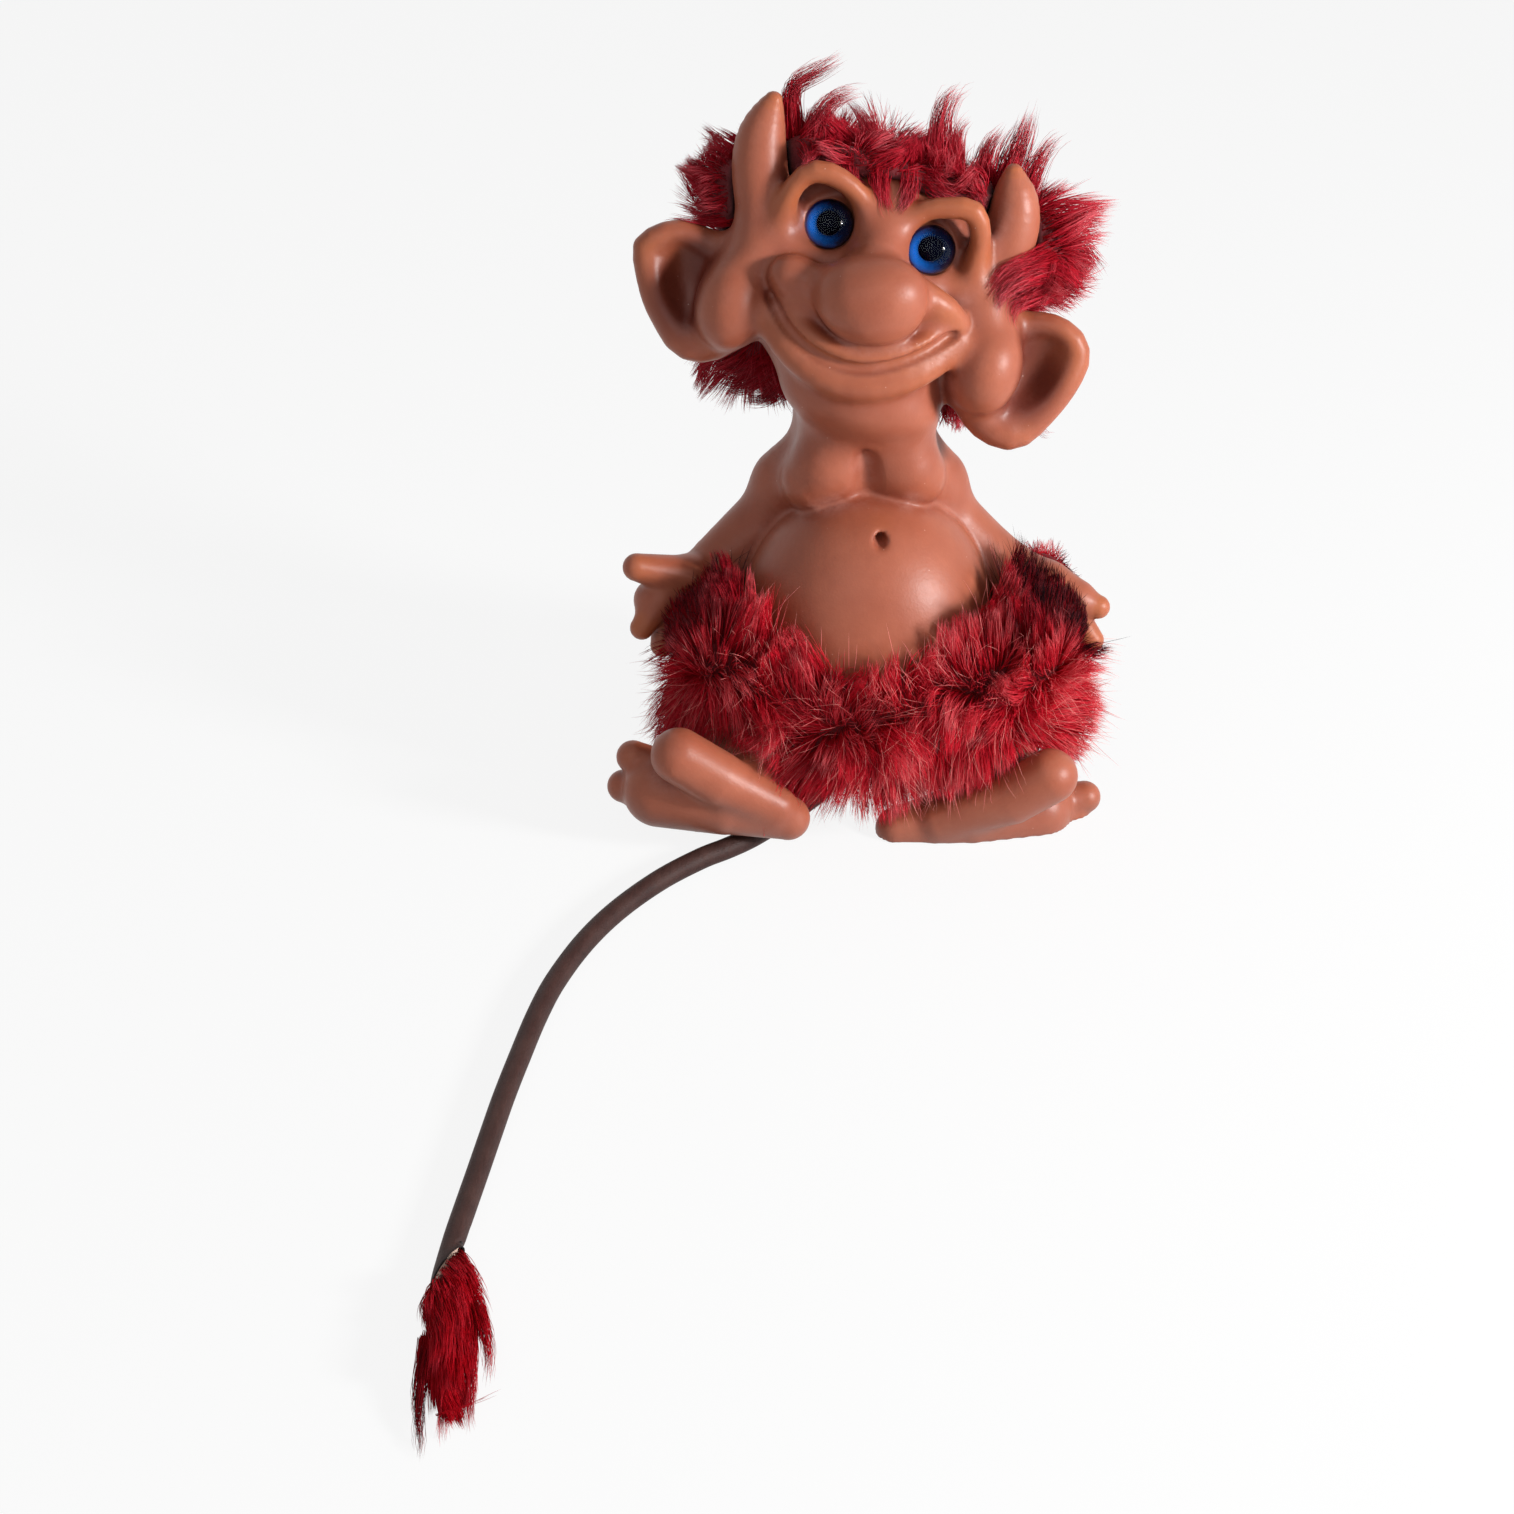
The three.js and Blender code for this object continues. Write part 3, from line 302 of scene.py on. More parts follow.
def rubber_finish():
    """Painted rubber: brown flesh, tan tips, painted shade in the hollows, creases and ear bowls, a dusty
    bloom in the hollows, and pores.
    """
    skin = Finish("painted_rubber")
    hollow, ridge, sole = skin.fact("hollow"), skin.fact("ridge"), skin.fact("sole")
    cloud = skin.noise(14, 4).between(0.3, 0.7)
    speckle = skin.noise(1.3, 4, 0.7).between(0.35, 0.75)
    flesh = skin.mixed(cloud, paint(156, 83, 60), paint(172, 97, 72))
    tanned = skin.mixed((ridge * (0.35 + cloud * 0.35)).clamped(), flesh, paint(180, 100, 58))
    # Painted shade: the skin is darkened in its hollows, where shade falls
    shaded = skin.mixed((hollow * 0.5).clamped(), tanned, paint(122, 54, 40))
    bloom = (hollow * skin.noise(9, 4, 0.6).between(0.48, 0.72) * (0.35 + speckle * 0.4)).clamped()
    bloomed = skin.mixed(bloom, shaded, paint(206, 148, 134))
    # Painted shade along the skin's creases
    crease_shade = skin.mixed((skin.fact("crease") * 0.85).clamped(), bloomed, paint(92, 34, 26))
    # Painted shade in the ears' bowls
    ear_bowl_shade = skin.mixed((skin.fact("bowl") * 0.85).clamped(), crease_shade, paint(92, 32, 22))
    worn = skin.mixed((sole * (0.4 + cloud * 0.4)).clamped(), ear_bowl_shade, paint(132, 88, 76))
    freckled = skin.mixed(speckle * 0.12, worn, paint(128, 62, 46))
    specks = (1 - skin.cells(3.1).between(0.03, 0.07)) * skin.noise(8, 2).between(0.5, 0.6)
    dusted = skin.mixed(specks * 0.5, freckled, paint(226, 190, 176))
    pores = skin.cells(0.7) * 0.5 + skin.noise(0.35, 2) * 0.5
    ripple = skin.noise(5, 3)
    skin.set(
        base_color=dusted,
        roughness=0.35 + skin.noise(6, 4) * 0.12 + speckle * 0.06,
        specular_ior_level=0.3,
        normal=skin.bumped(pores * 0.35 + ripple, 0.18, 0.6),
        subsurface_weight=0.08,
        subsurface_scale=0.004,
        subsurface_radius=(1.0, 0.35, 0.2),
        coat_roughness=0.4,
        coat_weight=0.08 + speckle * 0.06,
    )
    return skin.material


def glass_finish():
    """Clear glass that lets light through to the paint behind it."""
    glass = Finish("eye_glass")
    clear_to_edge = glass.mixed(glass.fact("rim"), (0.9, 0.95, 1, 1), paint(4, 8, 30))
    glass.set(
        base_color=clear_to_edge,
        roughness=0.08,
        ior=1.36,
        specular_tint=(0.28, 0.28, 0.28, 1),
        transmission_weight=1.0,
    )
    shadow = Wire(glass, glass.node("ShaderNodeLightPath").outputs["Is Shadow Ray"])
    cemented = (shadow + glass.fact("back")).clamped()
    clear = glass.node("ShaderNodeBsdfTransparent", {}, {"Color": (0.92, 0.96, 1, 1)})
    glass.cover(cemented, clear)
    return glass.material


def iris_finish():
    """Blue iris paint with fine spokes, dark at its rim, and painted light: a brighter crescent low and to
    one side.
    """
    iris = Finish("iris_paint")
    spokes = iris.noise(0.45, 4, 0.7)
    # Painted light: the crescent that light through the glass makes on the iris
    lit = iris.fact("lit") + (spokes - 0.5) * 0.6
    blue = iris.mixed(lit.between(0.3, 0.95), paint(1, 11, 36), paint(8, 84, 156))
    rimmed = iris.mixed(iris.fact("rim"), blue, paint(2, 4, 18))
    iris.set(
        base_color=rimmed,
        roughness=0.6 + spokes * 0.1,
        specular_ior_level=0.03,
        normal=iris.bumped(spokes, 0.05),
    )
    return iris.material


def pupil_finish():
    """Dull dark paint."""
    pupil = Finish("pupil_paint")
    pupil.set(base_color=paint(3, 4, 14), roughness=0.8 + pupil.noise(0.6) * 0.2, specular_ior_level=0.0)
    return pupil.material


def wire_finish():
    """Drawn steel wire with dull patches and draw marks along it."""
    wire = Finish("steel_wire")
    patch = wire.noise(1.5, 4)
    wire.set(
        base_color=wire.mixed(patch, paint(150, 150, 146), paint(96, 92, 88)),
        metallic=1.0,
        roughness=0.3 + patch * 0.3,
        normal=wire.bumped(wire.noise(0.2, 2), 0.02),
    )
    return wire.material


def washer_finish():
    """Raw leather: buff, with a fibrous nap."""
    raw = Finish("raw_leather")
    nap = raw.noise(0.6, 5, 0.7)
    buff = raw.mixed(nap, paint(128, 96, 62), paint(172, 138, 98))
    raw.set(base_color=buff, roughness=0.8, normal=raw.bumped(nap, 0.1))
    return raw.material


def fur_finish(name, root, middle, pale, dark):
    """Dyed hair: darker at the root as painted shade, paler or black at the tip, with each tuft of its own
    shade.
    """
    fur = Finish(name)
    root, middle, pale, dark = (paint(*colour) for colour in (root, middle, pale, dark))
    along, tone, shade = fur.fact("along"), fur.fact("tone"), fur.fact("shade")
    patch = fur.noise(9, 3).between(0.35, 0.65)
    # Painted shade: each strand darkens toward its root, down in the fur
    body = fur.mixed(along.between(0.0, 0.55), root, middle)
    deepened = fur.mixed(((1 - tone) * (0.15 + patch * 0.4)).clamped(), body, root)
    tipped = fur.mixed((along.between(0.35, 1.0) * tone.between(0.3, 1.0) * 0.8).clamped(), deepened, pale)
    darkened = fur.mixed((shade * along.between(0.1, 0.6)).clamped(), tipped, dark)
    fur.set(base_color=darkened, roughness=0.6 + tone * 0.15, specular_ior_level=0.08)
    return fur.material


def hide_finish(name, dyed, edge):
    """The pelt's skin side: dyed under the hair, dark and leathery where its cut edge shows."""
    hide = Finish(name)
    nap = hide.noise(1.2, 4, 0.7)
    tufted = hide.mixed(nap, paint(*dyed), paint(92, 12, 20))
    colour = hide.mixed(hide.fact("edge"), tufted, paint(*edge))
    hide.set(base_color=colour, roughness=0.75 + nap * 0.15, normal=hide.bumped(nap, 0.6))
    return hide.material


def leather_finish():
    """Dark brown tail leather: grain, creases along the tail, paler in worn patches, and paler on top as
    painted light.
    """
    leather = Finish("tail_leather")
    creases = leather.noise(1.0, 4, 0.65, leather.stretched(1, 0.16, 1))
    grain = leather.cells(0.45)
    # Worn patches, and painted light: the upper side is made paler
    wear_and_top_light = (leather.noise(7, 4).between(0.4, 0.75) * 0.6 + leather.fact("top") * 0.4).clamped()
    brown = leather.mixed(creases.between(0.3, 0.75), paint(38, 20, 18), paint(60, 35, 32))
    # Paler where worn and, as painted light, on top
    worn = leather.mixed(wear_and_top_light * 0.5, brown, paint(86, 62, 56))
    leather.set(
        base_color=leather.mixed(leather.fact("edge"), worn, paint(18, 9, 8)),
        specular_ior_level=0.2,
        roughness=0.46 + creases * 0.22,
        normal=leather.bumped(creases * 0.7 + grain * 0.3, 0.22, 0.8),
    )
    return leather.material


RUBBER = rubber_finish()
GLASS = glass_finish()
IRIS = iris_finish()
PUPIL = pupil_finish()
STEEL = wire_finish()
RAW_LEATHER = washer_finish()
TAIL_LEATHER = leather_finish()
WIG_HAIR = fur_finish("wig_hair", (158, 6, 22), (206, 36, 56), (236, 132, 138), (40, 10, 12))
SKIRT_FUR = fur_finish("skirt_fur", (178, 6, 24), (220, 34, 54), (242, 136, 138), (22, 5, 10))
GUARD_HAIR = fur_finish("guard_hair", (176, 24, 38), (230, 100, 102), (246, 184, 172), (14, 5, 8))
TUFT_FUR = fur_finish("tuft_fur", (150, 2, 14), (198, 8, 28), (222, 66, 82), (36, 6, 10))
WIG_HIDE = hide_finish("wig_hide", (120, 22, 32), (24, 12, 12))
SKIRT_HIDE = hide_finish("skirt_hide", (132, 18, 28), (70, 10, 16))
TUFT_HIDE = hide_finish("tuft_hide", (150, 30, 36), (214, 182, 164))

make_camera()


# The tail: a strip of leather lapped over itself round a wire


CURVE_SAMPLES = 24
TAIL_STEPS = 220
TUBE_SIDES = 32


def smooth_line(points, steps):
    """A line that bends evenly through the points, in equal steps of its length. More columns go along."""
    points = np.asarray(points, float)
    before = np.vstack([2 * points[0] - points[1], points, 2 * points[-1] - points[-2]])
    share = np.linspace(0, 1, CURVE_SAMPLES, endpoint=False)[:, None]
    runs = []
    for a, b, c, d in zip(before, before[1:], before[2:], before[3:]):
        second, third = 2 * a - 5 * b + 4 * c - d, 3 * b - a - 3 * c + d
        runs.append(b + ((c - a) * share + second * share**2 + third * share**3) / 2)
    line = np.vstack([*runs, points[-1:]])
    far = np.concatenate([[0], np.cumsum(np.linalg.norm(np.diff(line[:, :3], axis=0), axis=1))])
    stops = np.linspace(0, far[-1], steps + 1)
    return np.stack([np.interp(stops, far, column) for column in line.T], axis=1), far[-1]


def frames_along(line):
    """Unit vectors ahead, to the left and up at each point of a line."""
    ahead = unit(np.gradient(line, axis=0))
    left = unit(np.cross([0, 0, 1], ahead))
    return ahead, left, np.cross(ahead, left)


def tube_faces(rings, sides):
    """Triangles of a tube of rings. After its points come the middles of its last and its first ring."""
    last = (rings - 1) * sides
    faces = []
    for k in range(sides):
        beyond = (k + 1) % sides
        for ring in range(0, last, sides):
            a, b, c, d = ring + k, ring + beyond, ring + sides + beyond, ring + sides + k
            faces += [[a, b, c], [a, c, d]]
        faces += [[last + k, last + beyond, last + sides], [beyond, k, last + sides + 1]]
    return np.array(faces)


def tail_sheath():
    """The sheath, its end cut on a slant and turned out round the tuft's root."""
    sides = TUBE_SIDES
    line, length = smooth_line(TAIL_ROUTE, TAIL_STEPS)
    ahead, left, up = frames_along(line)
    share = np.linspace(0, 1, len(line))[:, None]
    turn = np.arange(sides) / sides
    angle = 2 * math.pi * (turn + SEAM_TURN)
    near_end = np.clip(1 - (1 - share) * length / FLARE_RUN, 0, 1)
    radius = TAIL_ROOT_RADIUS + (TAIL_END_RADIUS - TAIL_ROOT_RADIUS) * share + LAP_THICKNESS * (turn - 0.5)
    radius = radius + FLARE * (0.7 + 0.5 * np.cos(angle)) * near_end**4
    around = np.cos(angle)[:, None] * left[:, None] + np.sin(angle)[:, None] * up[:, None]
    back = near_end * (CUT_BACK + CUT_SLANT * np.cos(angle))
    walls = line[:, None] + around * radius[..., None] - back[..., None] * ahead[:, None]
    seam = (turn < 0.5 / sides) | (turn > 1 - 1.5 / sides)
    edge = np.where(seam, 0.9, 0) + near_end**12
    # top: the upper side, which the leather's finish makes paler as painted light
    top = np.broadcast_to(np.clip(np.sin(angle), 0, 1), edge.shape)
    # The wall turns in at the cut end, and the tube is stopped behind it
    end = walls[-1]
    outward = end - end.mean(axis=0)
    outward -= np.outer(outward @ ahead[-1], ahead[-1])
    lip = end - outward * CUT_WALL
    inner = end - outward * STOP_INSET - ahead[-1] * STOP_DEPTH
    outer = walls.reshape(-1, 3)
    outer[:, 2] = np.maximum(outer[:, 2], 0.05)
    points = np.vstack([outer, lip, inner, inner.mean(axis=0), line[:1]])
    facts = {
        "edge": np.clip(np.concatenate([edge.ravel(), np.ones(2 * sides + 2)]), 0, 1),
        "top": np.concatenate([top.ravel(), np.zeros(2 * sides + 2)]),
    }
    faces = tube_faces(len(line) + 2, sides)
    made = piece("tail_leather_sheath", points, faces, TAIL_LEATHER, ["tail_sheath"], facts)
    # The sheath's path ends at the middle of its slanting cut
    return made, line[(1 - share[:, 0]) * length > CUT_BACK - CUT_SLANT / 2], length


tail, tail_line, tail_length = tail_sheath()


# Clay: rounded lumps that run together over a blend width, and hollows pressed into them

# The clay's distance where no lump reaches, and how far past its surface a lump is worked out
EMPTY = 50.0
MARGIN = 7.0


def turned(pitch=0, roll_by=0, yaw=0):
    """Columns are the turned X, Y and Z axes: roll about Y, then pitch about X, then yaw about Z."""
    p, r, w = (math.radians(a) for a in (pitch, roll_by, yaw))
    about_y = np.array([[math.cos(r), 0, math.sin(r)], [0, 1, 0], [-math.sin(r), 0, math.cos(r)]])
    about_x = np.array([[1, 0, 0], [0, math.cos(p), -math.sin(p)], [0, math.sin(p), math.cos(p)]])
    about_z = np.array([[math.cos(w), -math.sin(w), 0], [math.sin(w), math.cos(w), 0], [0, 0, 1]])
    return about_z @ about_x @ about_y


HEAD_AXES = turned(pitch=HEAD_TILT, roll_by=HEAD_ROLL)


class Egg:
    """An egg-shaped lump."""

    def __init__(self, at, size, blend, axes, cut=False):
        self.at = np.array(at, float)
        self.size = np.array(size, float)
        self.blend = blend
        self.axes = axes
        self.cut = cut

    def reach(self):
        """The low and the high corner of its own space."""
        half = np.sqrt(((self.axes * self.size) ** 2).sum(axis=1))
        return self.at - half, self.at + half

    def moved(self, origin, axes):
        """The lump carried over from a frame with that origin and those axes."""
        return Egg(origin + axes @ self.at, self.size, self.blend, axes @ self.axes, self.cut)

    def mirrored(self):
        flip = np.array([-1, 1, 1])
        return Egg(self.at * flip, self.size, self.blend, self.axes * flip[:, None], self.cut)

    def distance(self, x, y, z):
        """About how far places are from its surface, less than 0 inside."""
        x, y, z = x - self.at[0], y - self.at[1], z - self.at[2]
        near, steep = 0, 0
        for size, axis in zip(self.size, self.axes.T):
            along = (x * axis[0] + y * axis[1] + z * axis[2]) / size
            near = near + along**2
            steep = steep + (along / size) ** 2
        near = np.sqrt(near)
        return near * (near - 1) / np.sqrt(steep + 1e-12)


class Roll:
    """A roll of clay through points, with a radius at each."""

    def __init__(self, points, radii, blend, cut=False):
        self.points = np.array(points, float)
        self.radii = np.broadcast_to(np.array(radii, float), len(points)).copy()
        self.blend = blend
        self.cut = cut

    def reach(self):
        radii = self.radii[:, None]
        return (self.points - radii).min(axis=0), (self.points + radii).max(axis=0)

    def moved(self, origin, axes):
        return Roll(origin + self.points @ axes.T, self.radii, self.blend, self.cut)

    def mirrored(self):
        return Roll(self.points * [-1, 1, 1], self.radii, self.blend, self.cut)

    def distance(self, x, y, z):
        best = 1e9
        for a, b, start, end in zip(self.points, self.points[1:], self.radii, self.radii[1:]):
            run = b - a
            t = ((x - a[0]) * run[0] + (y - a[1]) * run[1] + (z - a[2]) * run[2]) / float(run @ run)
            t = np.clip(t, 0, 1)
            away = (x - a[0] - t * run[0]) ** 2 + (y - a[1] - t * run[1]) ** 2 + (z - a[2] - t * run[2]) ** 2
            best = np.minimum(best, np.sqrt(away) - start - t * (end - start))
        return best


def egg(at, size, blend, roll_by=0, yaw=0):
    return Egg(at, size, blend, turned(0, roll_by, yaw))


def bent(points, radii, blend, steps=10):
    """A roll that bends and swells evenly through its points."""
    through = np.column_stack([points, np.broadcast_to(radii, len(points))])
    smooth, _ = smooth_line(through, steps)
    return Roll(smooth[:, :3], smooth[:, 3], blend)


def pressed(lump):
    """The same lump as a hollow in what is there before it."""
    lump.cut = True
    return lump


def both(*lumps):
    """Each lump and its mirror image."""
    return [side for lump in lumps for side in (lump, lump.mirrored())]


def on_head(lumps):
    """Lumps moved from the head's own frame on to the figure."""
    return [lump.moved(HEAD_AT, HEAD_AXES) for lump in lumps]


def space_of(lump):
    """The corners of the space in which a lump can change the clay."""
    low, high = lump.reach()
    spread = lump.blend + MARGIN
    return low - spread, high + spread


def joined(have, lump, far):
    """The clay's distance after one more lump, eased over its blend width."""
    k = lump.blend
    if lump.cut:
        ease = np.maximum(k - np.abs(have + far), 0) / k
        return np.maximum(have, -far) + ease * ease * k / 4
    ease = np.maximum(k - np.abs(have - far), 0) / k
    return np.minimum(have, far) - ease * ease * k / 4


def clay_on_grid(lumps, lines):
    """The clay's distance over a grid, lump by lump in the space that each one reaches."""
    clay = np.full([len(line) for line in lines], EMPTY, np.float32)
    for lump in lumps:
        part = tuple(slice(*np.searchsorted(line, ends)) for line, ends in zip(lines, zip(*space_of(lump))))
        if all(cut.start < cut.stop for cut in part):
            x, y, z = np.ix_(*(line[cut].astype(np.float32) for line, cut in zip(lines, part)))
            clay[part] = joined(clay[part], lump, lump.distance(x, y, z))
    return clay


def clay_at(lumps, points):
    """The clay's distance at single points."""
    points = points.reshape(-1, 3)
    clay = np.full(len(points), EMPTY)
    for lump in lumps:
        low, high = space_of(lump)
        near = np.nonzero(np.all((points > low) & (points < high), axis=1))[0]
        if len(near):
            clay[near] = joined(clay[near], lump, lump.distance(*points[near].T))
    return clay


def slope_at(lumps, points, step=0.15):
    """Which way the clay's distance grows, as unit vectors."""
    parts = []
    for axis in range(3):
        shift = np.zeros(3)
        shift[axis] = step
        parts.append(clay_at(lumps, points + shift) - clay_at(lumps, points - shift))
    return unit(np.stack(parts, axis=-1))


def surface(clay, lines):
    """Points and four-cornered faces where the clay's distance is zero, a point to each cell it crosses."""
    inside = clay < 0
    cells = tuple(n - 1 for n in clay.shape)
    # A cell's point is the middle of the places where the surface crosses the cell's edges
    total = np.zeros(cells + (3,), np.float32)
    crossings = np.zeros(cells, np.int16)
    for axis in range(3):
        others = [k for k in range(3) if k != axis]
        for shifts in ((0, 0), (0, 1), (1, 0), (1, 1)):
            start = [slice(0, n) for n in cells]
            for k, shift in zip(others, shifts):
                start[k] = slice(shift, shift + cells[k])
            end = list(start)
            end[axis] = slice(1, cells[axis] + 1)
            a, b = clay[tuple(start)], clay[tuple(end)]
            at = np.nonzero((a < 0) != (b < 0))
            t = a[at] / (a[at] - b[at])
            for k in range(3):
                place = lines[k][start[k]][at[k]]
                if k == axis:
                    place = place + t * (lines[k][end[k]][at[k]] - place)
                total[(*at, k)] += place
            crossings[at] += 1
    used = crossings > 0
    number = np.full(cells, -1, np.int64)
    number[used] = np.arange(used.sum())
    points = (total[used] / crossings[used][:, None]).astype(float)
    # A face joins the points of the four cells round each edge that goes out of the clay or into it
    faces = []
    for axis, (u, v) in enumerate(((1, 2), (2, 0), (0, 1))):
        start = [slice(1, n) for n in cells]
        start[axis] = slice(0, clay.shape[axis] - 1)
        end = list(start)
        end[axis] = slice(1, clay.shape[axis])
        a, b = inside[tuple(start)], inside[tuple(end)]
        for leaving in (True, False):
            found = np.nonzero((a & ~b) if leaving else (b & ~a))
            at = [index + (k != axis) for k, index in enumerate(found)]
            ring = []
            for du, dv in ((0, 0), (1, 0), (1, 1), (0, 1)):
                corner = list(at)
                corner[u] = at[u] - du
                corner[v] = at[v] - dv
                ring.append(number[tuple(corner)])
            ring = np.stack(ring, axis=1)
            faces.append(ring if leaving else ring[:, ::-1])
    return points, np.concatenate(faces)


# The figure's lumps


def seat():
    """Two lobes, cut flat by the floor, and the hips above them."""
    return [*both(egg([18, 14, 18], [21, 23, 21], 8)), egg([0, 15, 25], [24, 23, 18], 6)]


def trunk():
    """Back, neck with a fold to each shoulder, and the chest's two lobes with a groove between them."""
    shoulder = np.array([7.2, 7.2, 7.4, 8.2])
    fold = [[-10.5, 15, 104], [-11, 15, 97.5], [-13.7, 14.5, 90.5], [-20, 14, 83]]
    return [
        Roll([[0, 14, 50], [0, 16, 84]], [24, 16], 10),
        bent([[0, 16, 86], [0, 15, 98], [0.6, 13, 112]], NECK_RADIUS + np.array([0.9, 0, 0.4]), 7),
        bent(fold, shoulder + [0, 0, 0, 0.2], 4),
        bent([[9.4, 15, 104], [9.7, 15, 97.5], [11.4, 14.5, 91], [18, 14, 83]], shoulder, 4),
        egg([0, 7, 101], [13, 7, 8], 8),
        bent([[-6, 2.8, 99], [-9.2, 1.9, 93.6], [-13, 2.8, 88.6]], [7.2, 9, 8.4], 6),
        bent([[6, 2.8, 99], [9.2, 1.9, 94], [12.2, 2.8, 89.8]], [7, 8.6, 7.8], 6),
        pressed(bent([[-0.4, -4, 103], [-0.3, -5.4, 97], [-0.4, -5.6, 88]], 1.5, 4)),
    ]


def belly():
    """A round belly with a navel."""
    return [egg(BELLY_AT, BELLY_SIZE, 1.6), pressed(egg([3.2, -16.4, 80.9], [1.6, 5, 1.4], 1.2))]


def arms():
    """Arms that reach down and out behind the fur, and their hands."""
    taper = [9, 9.3, 8.3, WRIST_RADIUS]
    finger = [FINGER_RADIUS + 1, FINGER_RADIUS]
    hand = [WRIST_RADIUS, WRIST_RADIUS - 0.7]
    return [
        bent([[-8.2, 17, 87], [-23.4, 14.5, 72], [-35.8, 10.5, 61.5], [-44.8, 4, 57.8]], taper, 7),
        Roll([[-44.8, 3, 59], [-53.9, 0, 55.4]], hand, 3),
        Roll([[-46.8, 1, 61.6], [-58.2, -3.6, 66.8]], [WRIST_RADIUS - 0.6, FINGER_RADIUS + 0.5], 3),
        Roll([[-52.5, -2, 56.5], [-57.2, -5, 49.9]], finger, 2),
        Roll([[-50.6, 2, 51.3], [-52.2, -2, 43.1]], finger, 2),
        bent([[9, 17, 86], [21.8, 14.5, 70.8], [34.8, 10.5, 60.4], [47.4, 4, 57]], taper, 7),
        Roll([[47.7, 3, 58], [54.7, 0, 55.4]], hand, 3),
        Roll([[53.4, 0, 55.4], [60.5, -2, 54.4]], finger, 2),
        Roll([[53.6, 0, 52.4], [59.6, -2, 44.6]], finger, 2),
    ]


def legs():
    """Thighs and shins under the fur, and feet turned out. The one at the picture's left is raised."""
    sole = [FOOT_RADIUS - 3.5, FOOT_RADIUS, FOOT_RADIUS + 0.4]
    big_toe = [TOE_RADIUS - 1.8, TOE_RADIUS, TOE_RADIUS]
    small_toe = [TOE_RADIUS, TOE_RADIUS - 2.8]
    return [
        Roll([[-20, 6, 18], [-35, -14, 20], [-28.8, -30, 20.8]], [17, 12, 7], 6),
        Roll([[20, 6, 18], [34, -12, 19], [32, -20, 11.4]], [17, 12, 8], 6),
        Roll([[-19.6, -36, 11.6], [-35.7, -34, 16.1], [-52.4, -30, 16.3]], sole, 3),
        Roll([[-22.9, -38, 16.6], [-37.3, -39, 25.4], [-47.1, -39, 32.2]], big_toe, 2.5),
        Roll([[-42.2, -26, 13.7], [-59.3, -26, 23.8]], small_toe, 1.8),
        Roll([[-42.2, -28, 10.4], [-61.9, -26, 14.9]], small_toe, 1.8),
        Roll([[9.1, -25, 1.2], [28.3, -22, 3], [45.7, -18, 2.6]], sole, 3),
        Roll([[20.1, -27, 5.1], [38.2, -29, 13.5], [47.5, -30, 20.5]], big_toe, 2.5),
        Roll([[44.8, -15, 0.6], [59, -14, 3.8]], small_toe, 1.6),
        Roll([[44.7, -18, -1.8], [56, -16, -1.6]], small_toe, 1.6),
    ]


def side_of(side, spacing, place):
    """A place that is given from the left or right one of a pair of centres."""
    return [place[0] + side * spacing / 2, place[1], place[2]]


def brows():
    """An arch over each eye and the skin below it, with points that are measured from the eye."""
    left = [
        [-9.3, 3.2, -9.8], [-10.9, 1.4, -2.8], [-10.9, -1, 4.4], [-8.7, -2.6, 9.6], [-5.1, -3.4, 11.6],
        [-0.1, -3.2, 11], [4.9, -2.2, 8.6], [8.5, -1.2, 4.4], [9.5, 0.2, -2],
    ]
    right = [
        [11.1, 3.2, -10.3], [11.6, 1.8, -5.2], [11.3, 0.3, 1.8], [10.1, -2.2, 7.8], [6.9, -3.4, 11.4],
        [2, -3.2, 10.9], [-3.9, -2.2, 8.7], [-7.5, -1.2, 4.2], [-8.5, 0.2, -1.4],
    ]
    thick = BROW_RADIUS + np.array([-0.6, -0.4, -0.3, -0.1, 0.1, 0, -0.2, -0.2, -0.2])
    arches = [
        bent([side_of(side, EYE_SPACING, place) for place in run], thick, 5, 16)
        for side, run in ((-1, left), (1, right))
    ]
    lid = [side_of(1, EYE_SPACING, place) for place in ([-8, 2.5, -6], [-0.7, 0.2, -8.8], [7.9, 2, -8])]
    return [
        *both(pressed(egg([EYE_SPACING / 2, -5, 2.5], [8.8, 7, 9.4], 3, roll_by=8))),
        *arches,
        *both(bent(lid, [2, 2.3, 2], 4)),
    ]


def mouth():
    """Two lips and the smile pressed in between them."""
    upper = [
        [-19, -3.5, -20.7], [-13.6, -7, -25.1], [-6.9, -9.8, -27.7], [-0.7, -11, -28.4],
        [5.1, -11.2, -27.4], [11.7, -10.2, -24.4], [16.9, -8.2, -20.6], [21.2, -5, -16.8],
    ]
    lower = [
        [-21.4, -1.5, -24.6], [-16.9, -5, -29.7], [-9.7, -7.6, -33.6], [-1.4, -8.8, -35.1],
        [6.8, -9, -33.7], [14.6, -8, -30.2], [19.9, -5.8, -26], [24, -2.6, -20.2],
    ]
    smile = [
        [-22, -3.6, -19.6], [-18.7, -6.6, -23.9], [-12.8, -10, -28], [-6.3, -12.3, -30.2],
        [-0.2, -13, -30.7], [5.6, -13.2, -29.5], [12.2, -12.3, -26.3], [17.4, -10.2, -22.5],
        [21.4, -7.4, -18.7], [24, -4.8, -15.6],
    ]
    return [
        bent(upper, LIP_RADIUS + np.array([-0.8, -0.3, 0, 0.1, 0.1, 0, -0.4, -1]), 2.5, 14),
        bent(lower, LIP_RADIUS + np.array([0, 0.2, 0.4, 0.6, 0.6, 0.4, 0.2, 0]), 4.5, 14),
        pressed(bent(smile, 1.1, 1.6, 16)),
    ]


